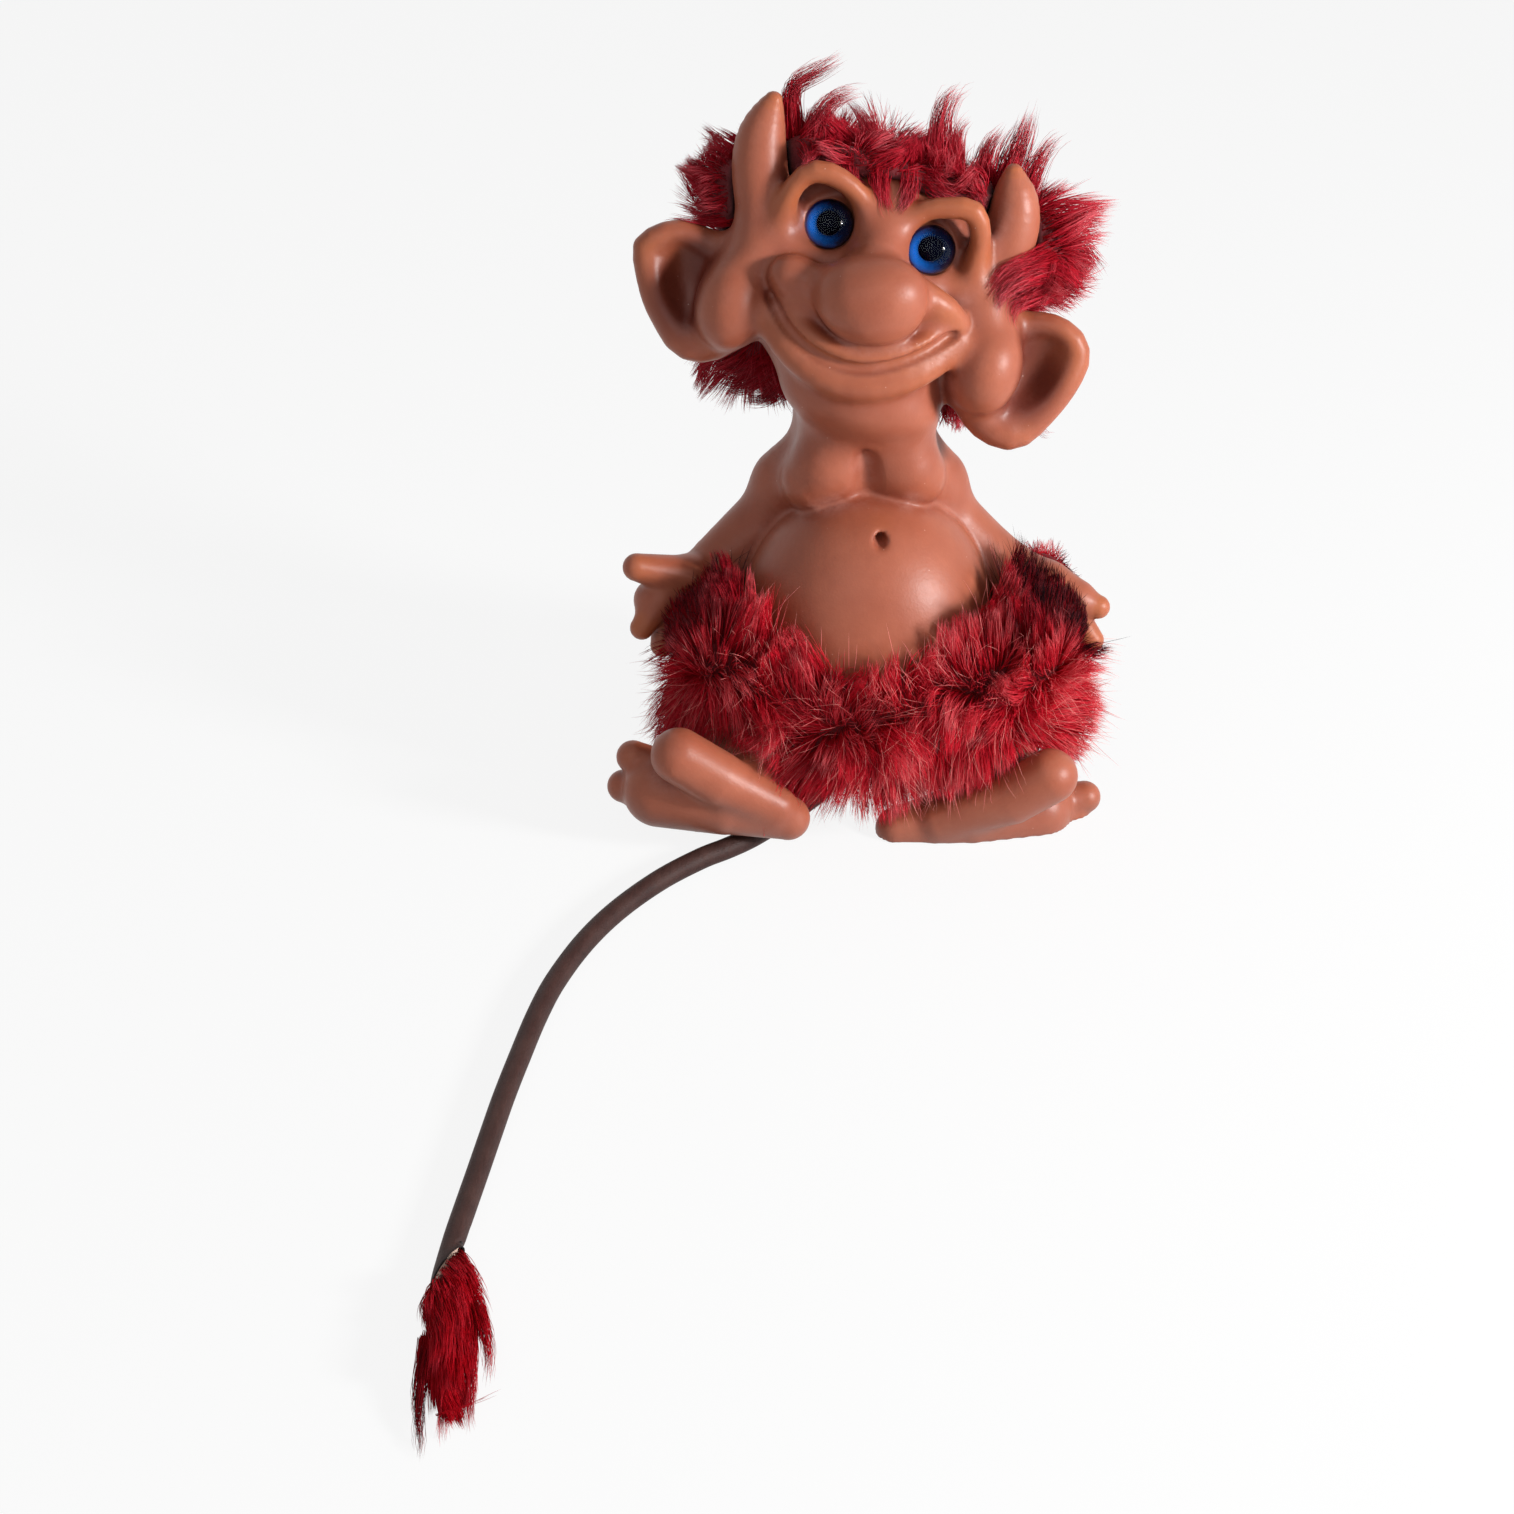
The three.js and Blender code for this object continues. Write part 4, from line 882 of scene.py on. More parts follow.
def nose():
    """Bridge, round tip and nostrils, and the fold from the nose to the mouth's corner."""
    flap = [[10, -8.6, -10], [16, -8, -11.6], [20, -6.4, -12.8], [22.8, -4.4, -14.6]]
    return [
        bent([[0.4, 4, 9], [0.4, -0.5, 2], [0.5, -6, -6]], [4.5, 4.6, 6.5], 5),
        egg([0.5, -11.8, -14.4], [13.2, 11.4, 10.6], 2.4),
        egg([5.2, -15.4, -10.8], [7.6, 6.6, 6.8], 5),
        egg([-18.6, -5.2, -13.8], [5.6, 6, 4.9], 2.5),
        Roll([[-18, -5.2, -13.9], [-11.5, -8, -13.6]], [3.6, 4.4], 3),
        bent(flap, [4.4, 3.8, 3.2, 2.5], 2.4),
    ]


def cheeks():
    """A cheekbone and a hanging cheek on each side."""
    lumps = []
    for side in (-1, 1):
        lumps.append(egg(side_of(side, CHEEK_SPACING, [1 - side * 4, 6, -13]), [8, 9, 9.5], 7))
        lumps.append(egg(side_of(side, CHEEK_SPACING, [1.2, 3, -24.4]), [9.1, 11, 11.6], 4.5))
    return lumps


def horns():
    """Two blunt horns, swollen low down."""
    left = [
        [-27.4, 9, -5], [-29.6, 7.4, 1], [-31.6, 6.4, 7], [-32.9, 6, 12], [-33.4, 5.5, 16.4],
        [-33.2, 5, 20.8], [-32.7, 4.5, 24.6],
    ]
    right = [
        [29.6, 9, -3], [30.3, 8.5, 0.6], [30.9, 8, 4], [31, 7, 10.5], [30, 6.2, 15.6], [28.8, 5.6, 19],
        [27.8, 5, 22.2],
    ]
    swell = np.array([0.92, 0.96, 1, 0.94, 0.75, 0.4, 0])
    thick = HORN_TIP_RADIUS + swell * (HORN_RADIUS - HORN_TIP_RADIUS)
    return [bent(left, thick, 5, 14), bent(right, thick, 5, 14)]


EAR_BOWLS = [[-42.6, 5.2, -22.5], [44.6, 5.2, -23.5]]


def ears():
    """Big ears: a back, a rolled rim, a lobe and a pressed bowl."""
    left = [
        [-36, 11, -12.4], [-44.8, 9.6, -12.4], [-50.2, 9, -13], [-54.6, 9.2, -15.8], [-54.2, 9.5, -19.2],
        [-49.6, 9.5, -25.4], [-44.8, 9.5, -31.6], [-40, 9, -36.4], [-34, 9.5, -36], [-29, 10, -31],
    ]
    right = [
        [38, 11, -13.4], [45.4, 9.6, -11.6], [51.8, 9, -12.6], [55.2, 9.2, -15.4], [55.6, 9.5, -19.6],
        [52.2, 9.5, -28.4], [48, 9.5, -36.8], [43.4, 9, -39.4], [36.6, 9.5, -37.6], [30.5, 10, -32],
    ]
    thick = EAR_RIM_RADIUS + np.array([0, 0, -0.1, -0.4, -0.3, 0, 0.6, 1.2, 1.4, 1.4])
    return [
        egg([-42.5, 12.5, -23], [11.8, 4.6, 15], 4, roll_by=-30, yaw=18),
        egg([44.5, 12.5, -24.4], [11.8, 4.6, 15], 4, roll_by=28, yaw=-18),
        bent(left, thick, 4, 20),
        bent(right, thick, 4, 20),
        egg([-39, 10, -31.5], [7, 4, 6.5], 4),
        egg([41, 10, -33], [8, 4, 7], 4),
        pressed(egg(EAR_BOWLS[0], [5.4, 6.4, 9.7], 4, roll_by=-26)),
        pressed(egg(EAR_BOWLS[1], [5.4, 6.4, 9.7], 4, roll_by=24)),
    ]


def face():
    """The head, in its own frame: skull, jaw and the features on them."""
    eye_holes = both(pressed(egg([EYE_SPACING / 2, 0, 0], [EYE_DIAMETER / 2 + 0.2] * 3, 0.5)))
    return on_head([
        egg([0, 20, -5], [29, 22, 19], 6),
        egg([0, 12, 2], [24, 13, 14], 6),
        egg([0, 15, -20], [29, 21, 19], 10),
        egg([0, 4, -28], [19, 13, 13], 8),
        egg([6, 7, -40], [18.6, 13, 9], 8),
        egg([-13.5, -3.5, -18.5], [6.5, 5.5, 5], 4),
        egg([15, -4, -16.5], [7.5, 5.5, 5.5], 4),
        *horns(),
        *ears(),
        *cheeks(),
        *brows(),
        *mouth(),
        *nose(),
        *eye_holes,
    ])


def tail_groove():
    """Room for the tail under the seat."""
    return pressed(Roll(TAIL_ROUTE[3:10], 4.3, 2))


FIGURE = [*seat(), *trunk(), *arms(), *belly(), *legs(), *face(), tail_groove()]
LINES = [np.arange(low, high, SKIN_CELL) for low, high in zip(FIGURE_LOW, FIGURE_HIGH)]
FIGURE_CLAY = clay_on_grid(FIGURE, LINES)


def settled(lumps, points, turns=3):
    """Points moved on to the clay's surface, except those that the floor cuts."""
    for _ in range(turns):
        move = clay_at(lumps, points)[:, None] * slope_at(lumps, points)
        move = np.clip(move, -SKIN_CELL / 2, SKIN_CELL / 2)
        points = np.where(points[:, 2:] > 0.3, points - move, points)
    points[:, 2] = np.maximum(points[:, 2], 0)
    return points


# How far off clay is felt for: out of the skin, and into it for a ridge
HOLLOW_REACH = 5
CREASE_REACH = 1.2
RIDGE_REACH = -6
# The soles' paint lies lower than this and further forward
FEET_TOP = 30
FEET_BACK = -8


def body_skin():
    """The outer skin of the moulding, with how hollow, ridged or creased it is at each point."""
    floor = -LINES[2][None, None, :]
    points, faces = surface(np.maximum(FIGURE_CLAY, floor), LINES)
    points = settled(FIGURE, points)
    out = slope_at(FIGURE, points)

    def closeness(reach):
        """How near a surface is to the place that far out of the skin, 0 to 1."""
        return np.clip(1 - clay_at(FIGURE, points + reach * out) / reach, 0, 1)

    faced_down = np.clip((4 - out[:, 2] * 6 + (8 - points[:, 2]) * 0.2) / 8, 0, 1)
    own = (points - HEAD_AT) @ HEAD_AXES
    # How near each point is to an ear's bowl, where the skin gets painted shade
    bowl = np.max([1.5 - np.linalg.norm((own - at) / [7.5, 7, 10.5], axis=1) for at in EAR_BOWLS], axis=0)
    # hollow, crease and bowl hold where the skin gets painted shade; hollow also holds where its dust blooms
    facts = {
        "hollow": closeness(HOLLOW_REACH),
        "crease": np.clip(closeness(CREASE_REACH) * 1.6 - 0.5, 0, 1),
        "ridge": np.clip(closeness(RIDGE_REACH) * 2.2 - 1.0, 0, 1),
        "sole": faced_down * (points[:, 2] < FEET_TOP) * (points[:, 1] < FEET_BACK),
        "bowl": np.clip(bowl * 1.6, 0, 1),
    }
    return piece("body_skin", points, faces, RUBBER, ["body_shell"], facts)


body_skin()


# Eyes: each piece is turned round an axis that looks out of the face


def turned_on_eye(profile, side):
    """A profile of (radius, ahead) turned round an eye's axis: points, faces, and places from that axis."""
    points, rings = [], []
    for radius, ahead in profile:
        turn = 2 * math.pi * np.arange(1 if radius == 0 else EYE_SIDES) / EYE_SIDES
        ring = len(points) + np.arange(len(turn))
        rings.append(np.resize(ring, EYE_SIDES).tolist())
        points += [[radius * math.cos(a), -ahead, radius * math.sin(a)] for a in turn]
    faces = []
    for here, there in zip(rings, rings[1:]):
        for a, b, c, d in zip(here, here[1:] + here[:1], there[1:] + there[:1], there):
            faces += [[a, b, c]] * (a != b) + [[a, c, d]] * (c != d)
    flat = np.array(points)
    local = flat + [side * EYE_SPACING / 2, 0, 0]
    return HEAD_AT + local @ HEAD_AXES.T, np.array(faces), np.hypot(flat[:, 0], flat[:, 2]), flat


def make_eye(name, side):
    """A glass dome with the iris and the pupil painted behind it."""
    radius = EYE_DIAMETER / 2
    start = -math.asin(GLASS_BACK / radius)
    arc = np.linspace(start, math.pi / 2, 32)
    dome = [(0, -GLASS_BACK), (radius * math.cos(start) - 0.01, -GLASS_BACK)]
    dome += [(radius * math.cos(a), radius * math.sin(a)) for a in arc[:-1]] + [(0, radius)]
    points, faces, far, _ = turned_on_eye(dome, side)
    facts = {"rim": np.clip((far / radius - 0.72) / 0.2, 0, 1), "back": np.arange(len(points)) <= EYE_SIDES}
    piece(f"{name}_glass_dome", points, faces, GLASS, [f"{name}_eye_glass"], facts)
    front, rear = -PAINT_PLANE, -PAINT_PLANE - PAINT_THICKNESS
    outer, inner = IRIS_DIAMETER / 2, PUPIL_DIAMETER / 2 + 0.05
    rise = [(inner + (outer - inner) * k / 12, front + 0.12 * math.sin(math.pi * k / 12)) for k in range(13)]
    ring = [(inner, rear), *rise, (outer, rear), (inner, rear)]
    points, faces, far, flat = turned_on_eye(ring, side)
    # Painted light: the iris is made brighter low and to one side, as light through the glass would make it
    lit = 0.5 - (flat[:, 0] * 0.75 + flat[:, 2] * 0.35) / outer
    shaded = np.clip((far - 3.6) / 1.5, 0, 1) + np.clip((2.35 - far) / 0.6, 0, 1)
    facts = {"lit": np.clip(lit, 0, 1), "rim": shaded}
    piece(f"{name}_iris_ring", points, faces, IRIS, [f"{name}_eye_iris"], facts)
    spot = [(0, rear), (PUPIL_DIAMETER / 2, rear), (PUPIL_DIAMETER / 2, front - 0.05), (0, front + 0.05)]
    points, faces, _, _ = turned_on_eye(spot, side)
    piece(f"{name}_pupil_spot", points, faces, PUPIL, [f"{name}_eye_pupil"])


make_eye("left", -1)
make_eye("right", 1)


# Fur


def swirl(points, size, seed):
    """A slowly changing direction over space, the same each run."""
    draw = np.random.default_rng(seed)
    total = np.zeros(points.shape)
    for _ in range(6):
        wave = draw.normal(size=3) / size
        push = draw.normal(size=3)
        total += np.sin(points @ wave + draw.uniform(0, 2 * math.pi))[..., None] * push
    return total / 2.5


def cleared(paths):
    """Strand points moved out of the figure and up off the floor."""
    flat = paths.reshape(-1, 3)
    for _ in range(2):
        far = clay_at(FIGURE, flat)
        sunk = np.nonzero(far < HAIR_GAP)[0]
        flat[sunk] += (HAIR_GAP - far[sunk])[:, None] * slope_at(FIGURE, flat[sunk])
    flat[:, 2] = np.maximum(flat[:, 2], 0.5)
    return flat.reshape(paths.shape)


def rooted(points, faces, per_square_mm, keep):
    """Random roots over a hide's faces, with the way that the hide faces there."""
    a, b, c, d = (points[corner] for corner in faces.T)
    cross = np.cross(c - a, d - b)
    area = np.linalg.norm(cross, axis=1) / 2
    middle = (a + b + c + d) / 4
    area = np.where(keep(middle, unit(cross)), area, 0)
    count = int(area.sum() * per_square_mm)
    chosen = rng.choice(len(faces), count, p=area / area.sum())
    s, t = rng.random((2, count, 1))
    a, b, c, d = a[chosen], b[chosen], c[chosen], d[chosen]
    roots = (a * (1 - s) + b * s) * (1 - t) + (d * (1 - s) + c * s) * t
    return roots, unit(cross[chosen])


def scattered(heads, amount):
    """Directions that each turn a little at random."""
    return unit(heads + amount * rng.normal(size=heads.shape))


def thicknesses(low, high, count):
    return STRAND_RADIUS * rng.uniform(low, high, count)


def grown(roots, heads, lengths, curls):
    """Strands that start the way they head and bend by their curls."""
    share = np.linspace(0, 1, STRAND_STEPS + 1)[None, :, None]
    reach = heads[:, None] * share + curls[:, None] * share**2 / 2
    return roots[:, None] + lengths[:, None, None] * reach


def gathered(paths, leaders, low, high, late=1.2):
    """Draws strands toward leaders, most at their tips. Also says which leader's tuft each is in."""
    lead = rng.choice(len(paths), min(leaders, len(paths)), replace=False)
    nearest = np.empty(len(paths), int)
    for start in range(0, len(paths), 2000):
        away = paths[start : start + 2000, None, 0] - paths[None, lead, 0]
        nearest[start : start + 2000] = (away**2).sum(axis=-1).argmin(axis=1)
    pull = rng.uniform(low, high, (len(paths), 1, 1))
    share = np.linspace(0, 1, paths.shape[1])[None, :, None] ** late
    return paths + pull * share * (paths[lead][nearest] - paths), nearest


def tuft_tones(nearest, own=0.3):
    """A shade for each strand, most of it shared by its tuft."""
    shared = rng.random(nearest.max() + 1)[nearest]
    return shared * (1 - own) + rng.random(len(nearest)) * own


def strand_solids(paths, radii):
    """Each path as a closed three-sided strand that runs out to a point."""
    count, stops = paths.shape[:2]
    ahead = unit(np.gradient(paths, axis=1))
    side = unit(np.cross(ahead, ODD_WAY) + 1e-6)
    across = np.cross(ahead, side)
    start = rng.uniform(0, 2 * math.pi, (count, 1, 1))
    angle = start + np.arange(3)[None, None, :] * 2 * math.pi / 3
    thick = radii[:, None] * (1 - np.linspace(0, 1, stops)[None, :-1] ** 2 * 0.75)
    rings = paths[:, :-1, None] + thick[:, :, None, None] * (
        np.cos(angle)[..., None] * side[:, :-1, None] + np.sin(angle)[..., None] * across[:, :-1, None]
    )
    points = np.concatenate([rings.reshape(count, -1, 3), paths[:, -1:]], axis=1)
    # The faces of one strand: its root, its sides, and those that meet at its tip
    one = [[2, 1, 0]]
    for stop in range(stops - 2):
        for k in range(3):
            a, b = 3 * stop + k, 3 * stop + (k + 1) % 3
            one += [[a, b, b + 3], [a, b + 3, a + 3]]
    last = 3 * (stops - 2)
    one += [[last + k, last + (k + 1) % 3, 3 * (stops - 1)] for k in range(3)]
    size = points.shape[1]
    faces = np.array(one)[None] + (np.arange(count) * size)[:, None, None]
    along = np.append(np.repeat(np.linspace(0, 1, stops)[:-1], 3), 1)
    return points.reshape(-1, 3), faces.reshape(-1, 3), np.tile(along, count), size


def hair_pieces(name, paths, radii, tone, shade, finish, order):
    """Strands as pieces, small enough to keep every strand, and sorted into them by the numbers in order."""
    ranked = np.argsort(order, kind="stable")
    most = STRANDS_IN_A_PIECE if paths.shape[1] == STRAND_STEPS + 1 else LOCK_STRANDS_IN_A_PIECE
    parts = max(1, math.ceil(len(ranked) / most))
    made = []
    for number, chosen in enumerate(np.array_split(ranked, parts), 1):
        points, faces, along, size = strand_solids(paths[chosen], radii[chosen])
        facts = {"along": along}
        for fact, values in (("tone", tone), ("shade", shade)):
            facts[fact] = np.repeat(values[chosen], size)
        made.append(piece(f"{name}_{number}", points, faces, finish, facts=facts))
    return made


def hide_under(name, lumps, inset, finish, replaces, edge_gap):
    """The pelt's hide, a little inside the fur's outline and clear of the figure."""
    lines = [line[::2] for line in LINES]
    body = FIGURE_CLAY[::2, ::2, ::2]
    clay = clay_on_grid(lumps, lines) + inset
    clay = np.maximum(clay, HIDE_GAP - body)
    clay = np.maximum(clay, HIDE_LIFT - lines[2][None, None, :])
    points, faces = surface(clay, lines)
    edge = np.clip((edge_gap - clay_at(FIGURE, points)) / edge_gap, 0, 1)
    piece(name, points, faces, finish, replaces, {"edge": edge})
    return points, faces


def near_any(points, spots, size):
    """1 at the spots, falling to 0 at that distance from them."""
    far = np.min([np.linalg.norm(points - np.array(spot), axis=-1) for spot in spots], axis=0)
    return np.clip(1 - far / size, 0, 1)


# The skirt: a ring of long fur round the hips


def hip_ring(wide, deep, level, lift, radius):
    """A roll round the hips, lifted at both sides."""
    turn = np.linspace(0, 2 * math.pi, 21)
    x = SKIRT_CENTRE[0] + wide * np.sin(turn)
    y = SKIRT_CENTRE[1] - deep * np.cos(turn)
    return Roll(np.stack([x, y, level + lift * np.sin(turn) ** 2], axis=1), radius, 8)


SKIRT = [hip_ring(44, 26, 43, 9, 16), hip_ring(44, 23, 27, 0, 14.5)]
SKIRT_DARK_SPOTS = [
    [-40, -22, 50], [30.5, -34, 45], [29.6, -34, 34], [-13, -38, 27], [2, -40, 28], [3, -40, 44],
    [38, -29, 62],
]
# How high the skirt's hair reaches, from the picture's left to its right
SKIRT_TOP_AT = [-62, -51, -46, -40, -30, -10, 24, 37, 49, 54, 62]
SKIRT_TOP = [44, 57, 65, 72, 74, 80, 80, 76, 68, 62, 50]


def round_hips(points):
    """How far round from the front each point is."""
    return np.arctan2(points[:, 0], -points[:, 1])


def trimmed(paths):
    """Strands shortened where they reach over the skirt's top line. Also says how near each comes to it."""
    roots = paths[:, :1]
    tips = paths[:, -1]
    top = np.interp(tips[:, 0], SKIRT_TOP_AT, SKIRT_TOP)
    over = np.clip(tips[:, 2] - top, 0, None)
    kept = np.clip(1 - over / np.clip(tips[:, 2] - roots[:, 0, 2], 1, None), 0.3, 1)
    paths = roots + (paths - roots) * kept[:, None, None]
    sides = np.clip((np.abs(roots[:, 0, 0]) - 26) / 8, 0, 1) * np.where(roots[:, 0, 0] > 0, 1, 0.7)
    return paths, np.clip(1 - (top - paths[:, -1, 2]) / 5, 0, 1) * sides


def skirt_combed(roots, out):
    """The way that the skirt's hair heads: up over the top at the front, out, and down below."""
    rise = np.clip((roots[:, 2] - 37 - 0.12 * np.abs(roots[:, 0])) / 15, -1, 1)
    behind = np.clip((roots[:, 1] + 4) / 8, 0, 1)
    proud = np.clip((roots[:, 0] - 26) / 10, 0, 1) * np.clip((roots[:, 2] - 45) / 8, 0, 1) * (1 - behind)
    flow = swirl(roots, 15, 3)
    flow -= (flow * out).sum(axis=1, keepdims=True) * out
    heads = 0.42 * out + 0.62 * flow + 0.32 * swirl(roots, 4, 4)
    heads[:, 1] -= 0.25 * np.clip(rise, 0, 1) * (1 - behind)
    heads[:, 2] += np.where(rise > 0, 1.9 - 2.5 * behind, 0.6) * rise + 1.2 * proud
    return scattered(heads, 0.1), rise, behind, proud


def skirt_fur():
    """The skirt's hair, with dark spots and black tips at the top of its sides."""
    points, faces = hide_under("skirt_hide", SKIRT, 4.5, SKIRT_HIDE, ["skirt_pelt"], 1.5)

    def exposed(middle, out):
        return (clay_at(FIGURE, middle + 3 * out) > 1.2) & (middle[:, 2] > 4.6)

    roots, out = rooted(points, faces, 3.0, exposed)
    heads, rise, behind, proud = skirt_combed(roots, out)
    curls = 0.45 * swirl(roots, 4, 5) + 0.12 * rng.normal(size=roots.shape)
    curls[:, 2] -= 0.15 * (1 - proud)
    low_left = np.clip(-roots[:, 0] / 12, 0, 1) * np.clip(-rise, 0, 1) * (roots[:, 1] < -8)
    rim = np.clip(rise * 1.6 - 0.3, 0, 1) * (1 - behind)
    shares = 1 - 0.15 * np.clip(-rise, 0, 1) - 0.5 * behind + 0.35 * low_left
    lengths = rng.uniform(9.5, 15.5, len(roots)) * (shares + 0.25 * np.maximum(rim, proud))
    paths, tuft = gathered(grown(roots, heads, lengths, curls), 1000, 0.25, 0.85, 1.0)
    paths, _ = gathered(paths, 170, 0.1, 0.4)
    paths, tips = trimmed(paths)
    paths = cleared(paths)
    spots = near_any(paths[:, 3], SKIRT_DARK_SPOTS, 6.5)
    shade = np.clip(spots * 1.4 + tips * 1.3 - rng.random(len(roots)) * 0.7, 0, 1)
    radii = thicknesses(0.7, 1.15, len(roots))
    hair_pieces("skirt_fur", paths, radii, tuft_tones(tuft), shade, SKIRT_FUR, round_hips(roots))
    guard_hairs(points, faces, exposed)


def guard_hairs(points, faces, exposed):
    """Long straight hairs that stand out of the fur at the front, pale or with black tips."""

    def in_front(middle, out):
        return exposed(middle, out) & (middle[:, 1] < 2)

    roots, out = rooted(points, faces, 0.28, in_front)
    heads, _, _, proud = skirt_combed(roots, out)
    heads = scattered(heads + 0.12 * out, 0.2)
    lengths = rng.uniform(11, 15.5, len(roots)) * (1 + 0.2 * proud)
    paths, tips = trimmed(grown(roots, heads, lengths, 0.25 * rng.normal(size=roots.shape)))
    paths = cleared(paths)
    shade = np.clip(tips * 3, 0, 1)
    tone = rng.uniform(0.5, 1, len(roots))
    radii = np.full(len(roots), 0.85 * STRAND_RADIUS)
    hair_pieces("skirt_guard_hairs", paths, radii, tone, shade, GUARD_HAIR, round_hips(roots))


skirt_fur()


# The wig: a cap of woolly fur, and long locks that stand up from it

FRINGE = [[-36, 16, 2], [-23, 8, 14.5], [0, 4, 14.5], [23, 8, 14.5], [36, 16, 2]]
WIG = on_head([
    Roll(FRINGE, [10, 7, 7, 7, 10], 6),
    egg([0, 16, 6], [27, 15, 17], 6),
    egg([0, 28, -6], [36, 24, 27], 8),
    egg([-36, 17, -1], [9.5, 10, 11], 6),
    egg([38, 17, 3], [12.5, 12, 14], 6),
    Roll([[-28, 34, -34], [28, 34, -34]], 10, 8),
])

# Locks in the head's frame: points of the line that each follows, its width, how many strands and how dark
LOCKS = [
    ([[-26, 11, 17], [-29, 9, 28], [-25, 9, 33], [-19, 9, 39]], 2.6, 170, 0.35),
    ([[-20, 11, 14], [-21, 8, 22], [-18, 8, 28], [-12, 8, 30.5]], 3.0, 170, 0.2),
    ([[-12, 9, 14], [-9, 6, 18.5], [-7, 6, 21.5], [-6.5, 6, 24]], 1.4, 60, 0.9),
    ([[-8, 9, 16], [-2, 6, 21], [3, 6, 19.5]], 2.6, 110, 0.1),
    ([[11, 12, 17], [8, 10, 29], [8.5, 10, 36], [12, 10, 39.5]], 3.4, 200, 0.0),
    ([[14, 12, 18], [12.5, 10, 28], [14, 10, 33]], 3.0, 130, 0.0),
    ([[21, 13, 17], [21, 11, 26], [23.5, 11, 31.5]], 3.2, 130, 0.1),
    ([[27, 14, 17], [28.5, 13, 29], [29, 13, 37]], 4.0, 200, 0.1),
    ([[32, 15, 15], [34.5, 14, 27], [38, 14, 32]], 3.6, 160, 0.15),
    ([[37, 16, 11], [41, 16, 13], [45, 16, 11]], 3.8, 190, 0.1),
    ([[40, 16, 6], [48, 16, 7], [56, 16, 3]], 4.2, 220, 0.15),
    ([[41, 16, 1], [49, 16, -1], [55, 16, 0]], 3.6, 160, 0.1),
    ([[42, 16, -4], [48, 16, -6], [52, 16, -6.5]], 3.0, 120, 0.1),
    ([[41, 9, 5], [37, 4, 2.5], [31.5, 1, -1], [28.6, -1, -8]], 3.0, 200, 0.0),
    ([[42, 9, 1], [37, 3, -1], [32.4, 0, -6], [31.5, -1, -12]], 3.2, 210, 0.1),
    ([[43, 10, -3], [40, 5, -5], [36, 2, -9], [36, 1, -14]], 3.0, 190, 0.0),
    ([[43, 12, 3], [43.5, 7, 0], [42.5, 5, -5], [41, 4, -9]], 3.0, 180, 0.1),
    ([[-36, 15, 2], [-44, 14, 2.5], [-47, 14, -2]], 3.4, 150, 0.1),
    ([[-36, 15, -1], [-42, 14, -4], [-44, 14, -7.5]], 3.4, 140, 0.1),
    ([[-37, 16, 4], [-41, 14, 7], [-40, 14, 10]], 2.6, 110, 0.1),
    ([[-36, 12, -5], [-44, 11, -8.5], [-51, 11, -10]], 1.8, 80, 0.1),
    ([[-12, 4, 15], [-11, 1, 12.5], [-7, 1, 10]], 2.6, 110, 0.1),
    ([[-4, 3, 16], [-3, -0.5, 12], [-1, -1.5, 7], [0.5, -2.5, 3.5]], 2.6, 120, 0.1),
    ([[3, 3, 16], [4, -0.5, 12], [3.5, -1.5, 7.5], [2, -2.5, 4.5]], 2.4, 110, 0.1),
    ([[8, 4, 17], [11, 1, 14], [15, 1, 12]], 2.6, 110, 0.2),
    ([[15, 6, 17], [20, 3, 15], [23, 3, 12]], 2.4, 100, 0.2),
    ([[-18, 30, -36], [-25, 30, -42], [-32, 30, -41]], 3.4, 150, 0.2),
    ([[-17, 30, -40], [-24, 30, -46], [-30, 30, -46]], 3.4, 150, 0.3),
    ([[-12, 30, -42], [-16, 30, -48], [-22, 30, -49]], 2.8, 120, 0.4),
    ([[28, 34, -36], [33, 34, -39], [37, 34, -38]], 2.0, 60, 0.8),
    ([[46, 27, -33], [54, 26, -39], [58, 26, -39]], 1.6, 30, 0.3),
]


def lock(guide, width, count, loose=0.42):
    """Fine strands that follow a line, wide at the root and drawn together, but not shut, at the tip."""
    line, _ = smooth_line(guide, GUIDE_STEPS)
    share = np.linspace(0, 1, LOCK_STEPS + 1)
    ends = rng.uniform(0.3, 1.0, count)
    stops = share[None] * ends[:, None] * GUIDE_STEPS
    low = np.minimum(stops.astype(int), GUIDE_STEPS - 1)
    part = (stops - low)[..., None]
    middle = line[low] * (1 - part) + line[low + 1] * part
    spread = np.sqrt(rng.random((count, 1, 1))) * unit(rng.normal(size=(count, 1, 3))) * width
    taper = (loose + (1 - loose) * (1 - stops / GUIDE_STEPS) ** 1.1)[..., None]
    strays = swirl(middle + 60 * rng.random((count, 1, 1)), 4, 5)
    return middle + spread * taper + strays * share[None, :, None] * (0.4 + width * 0.3)


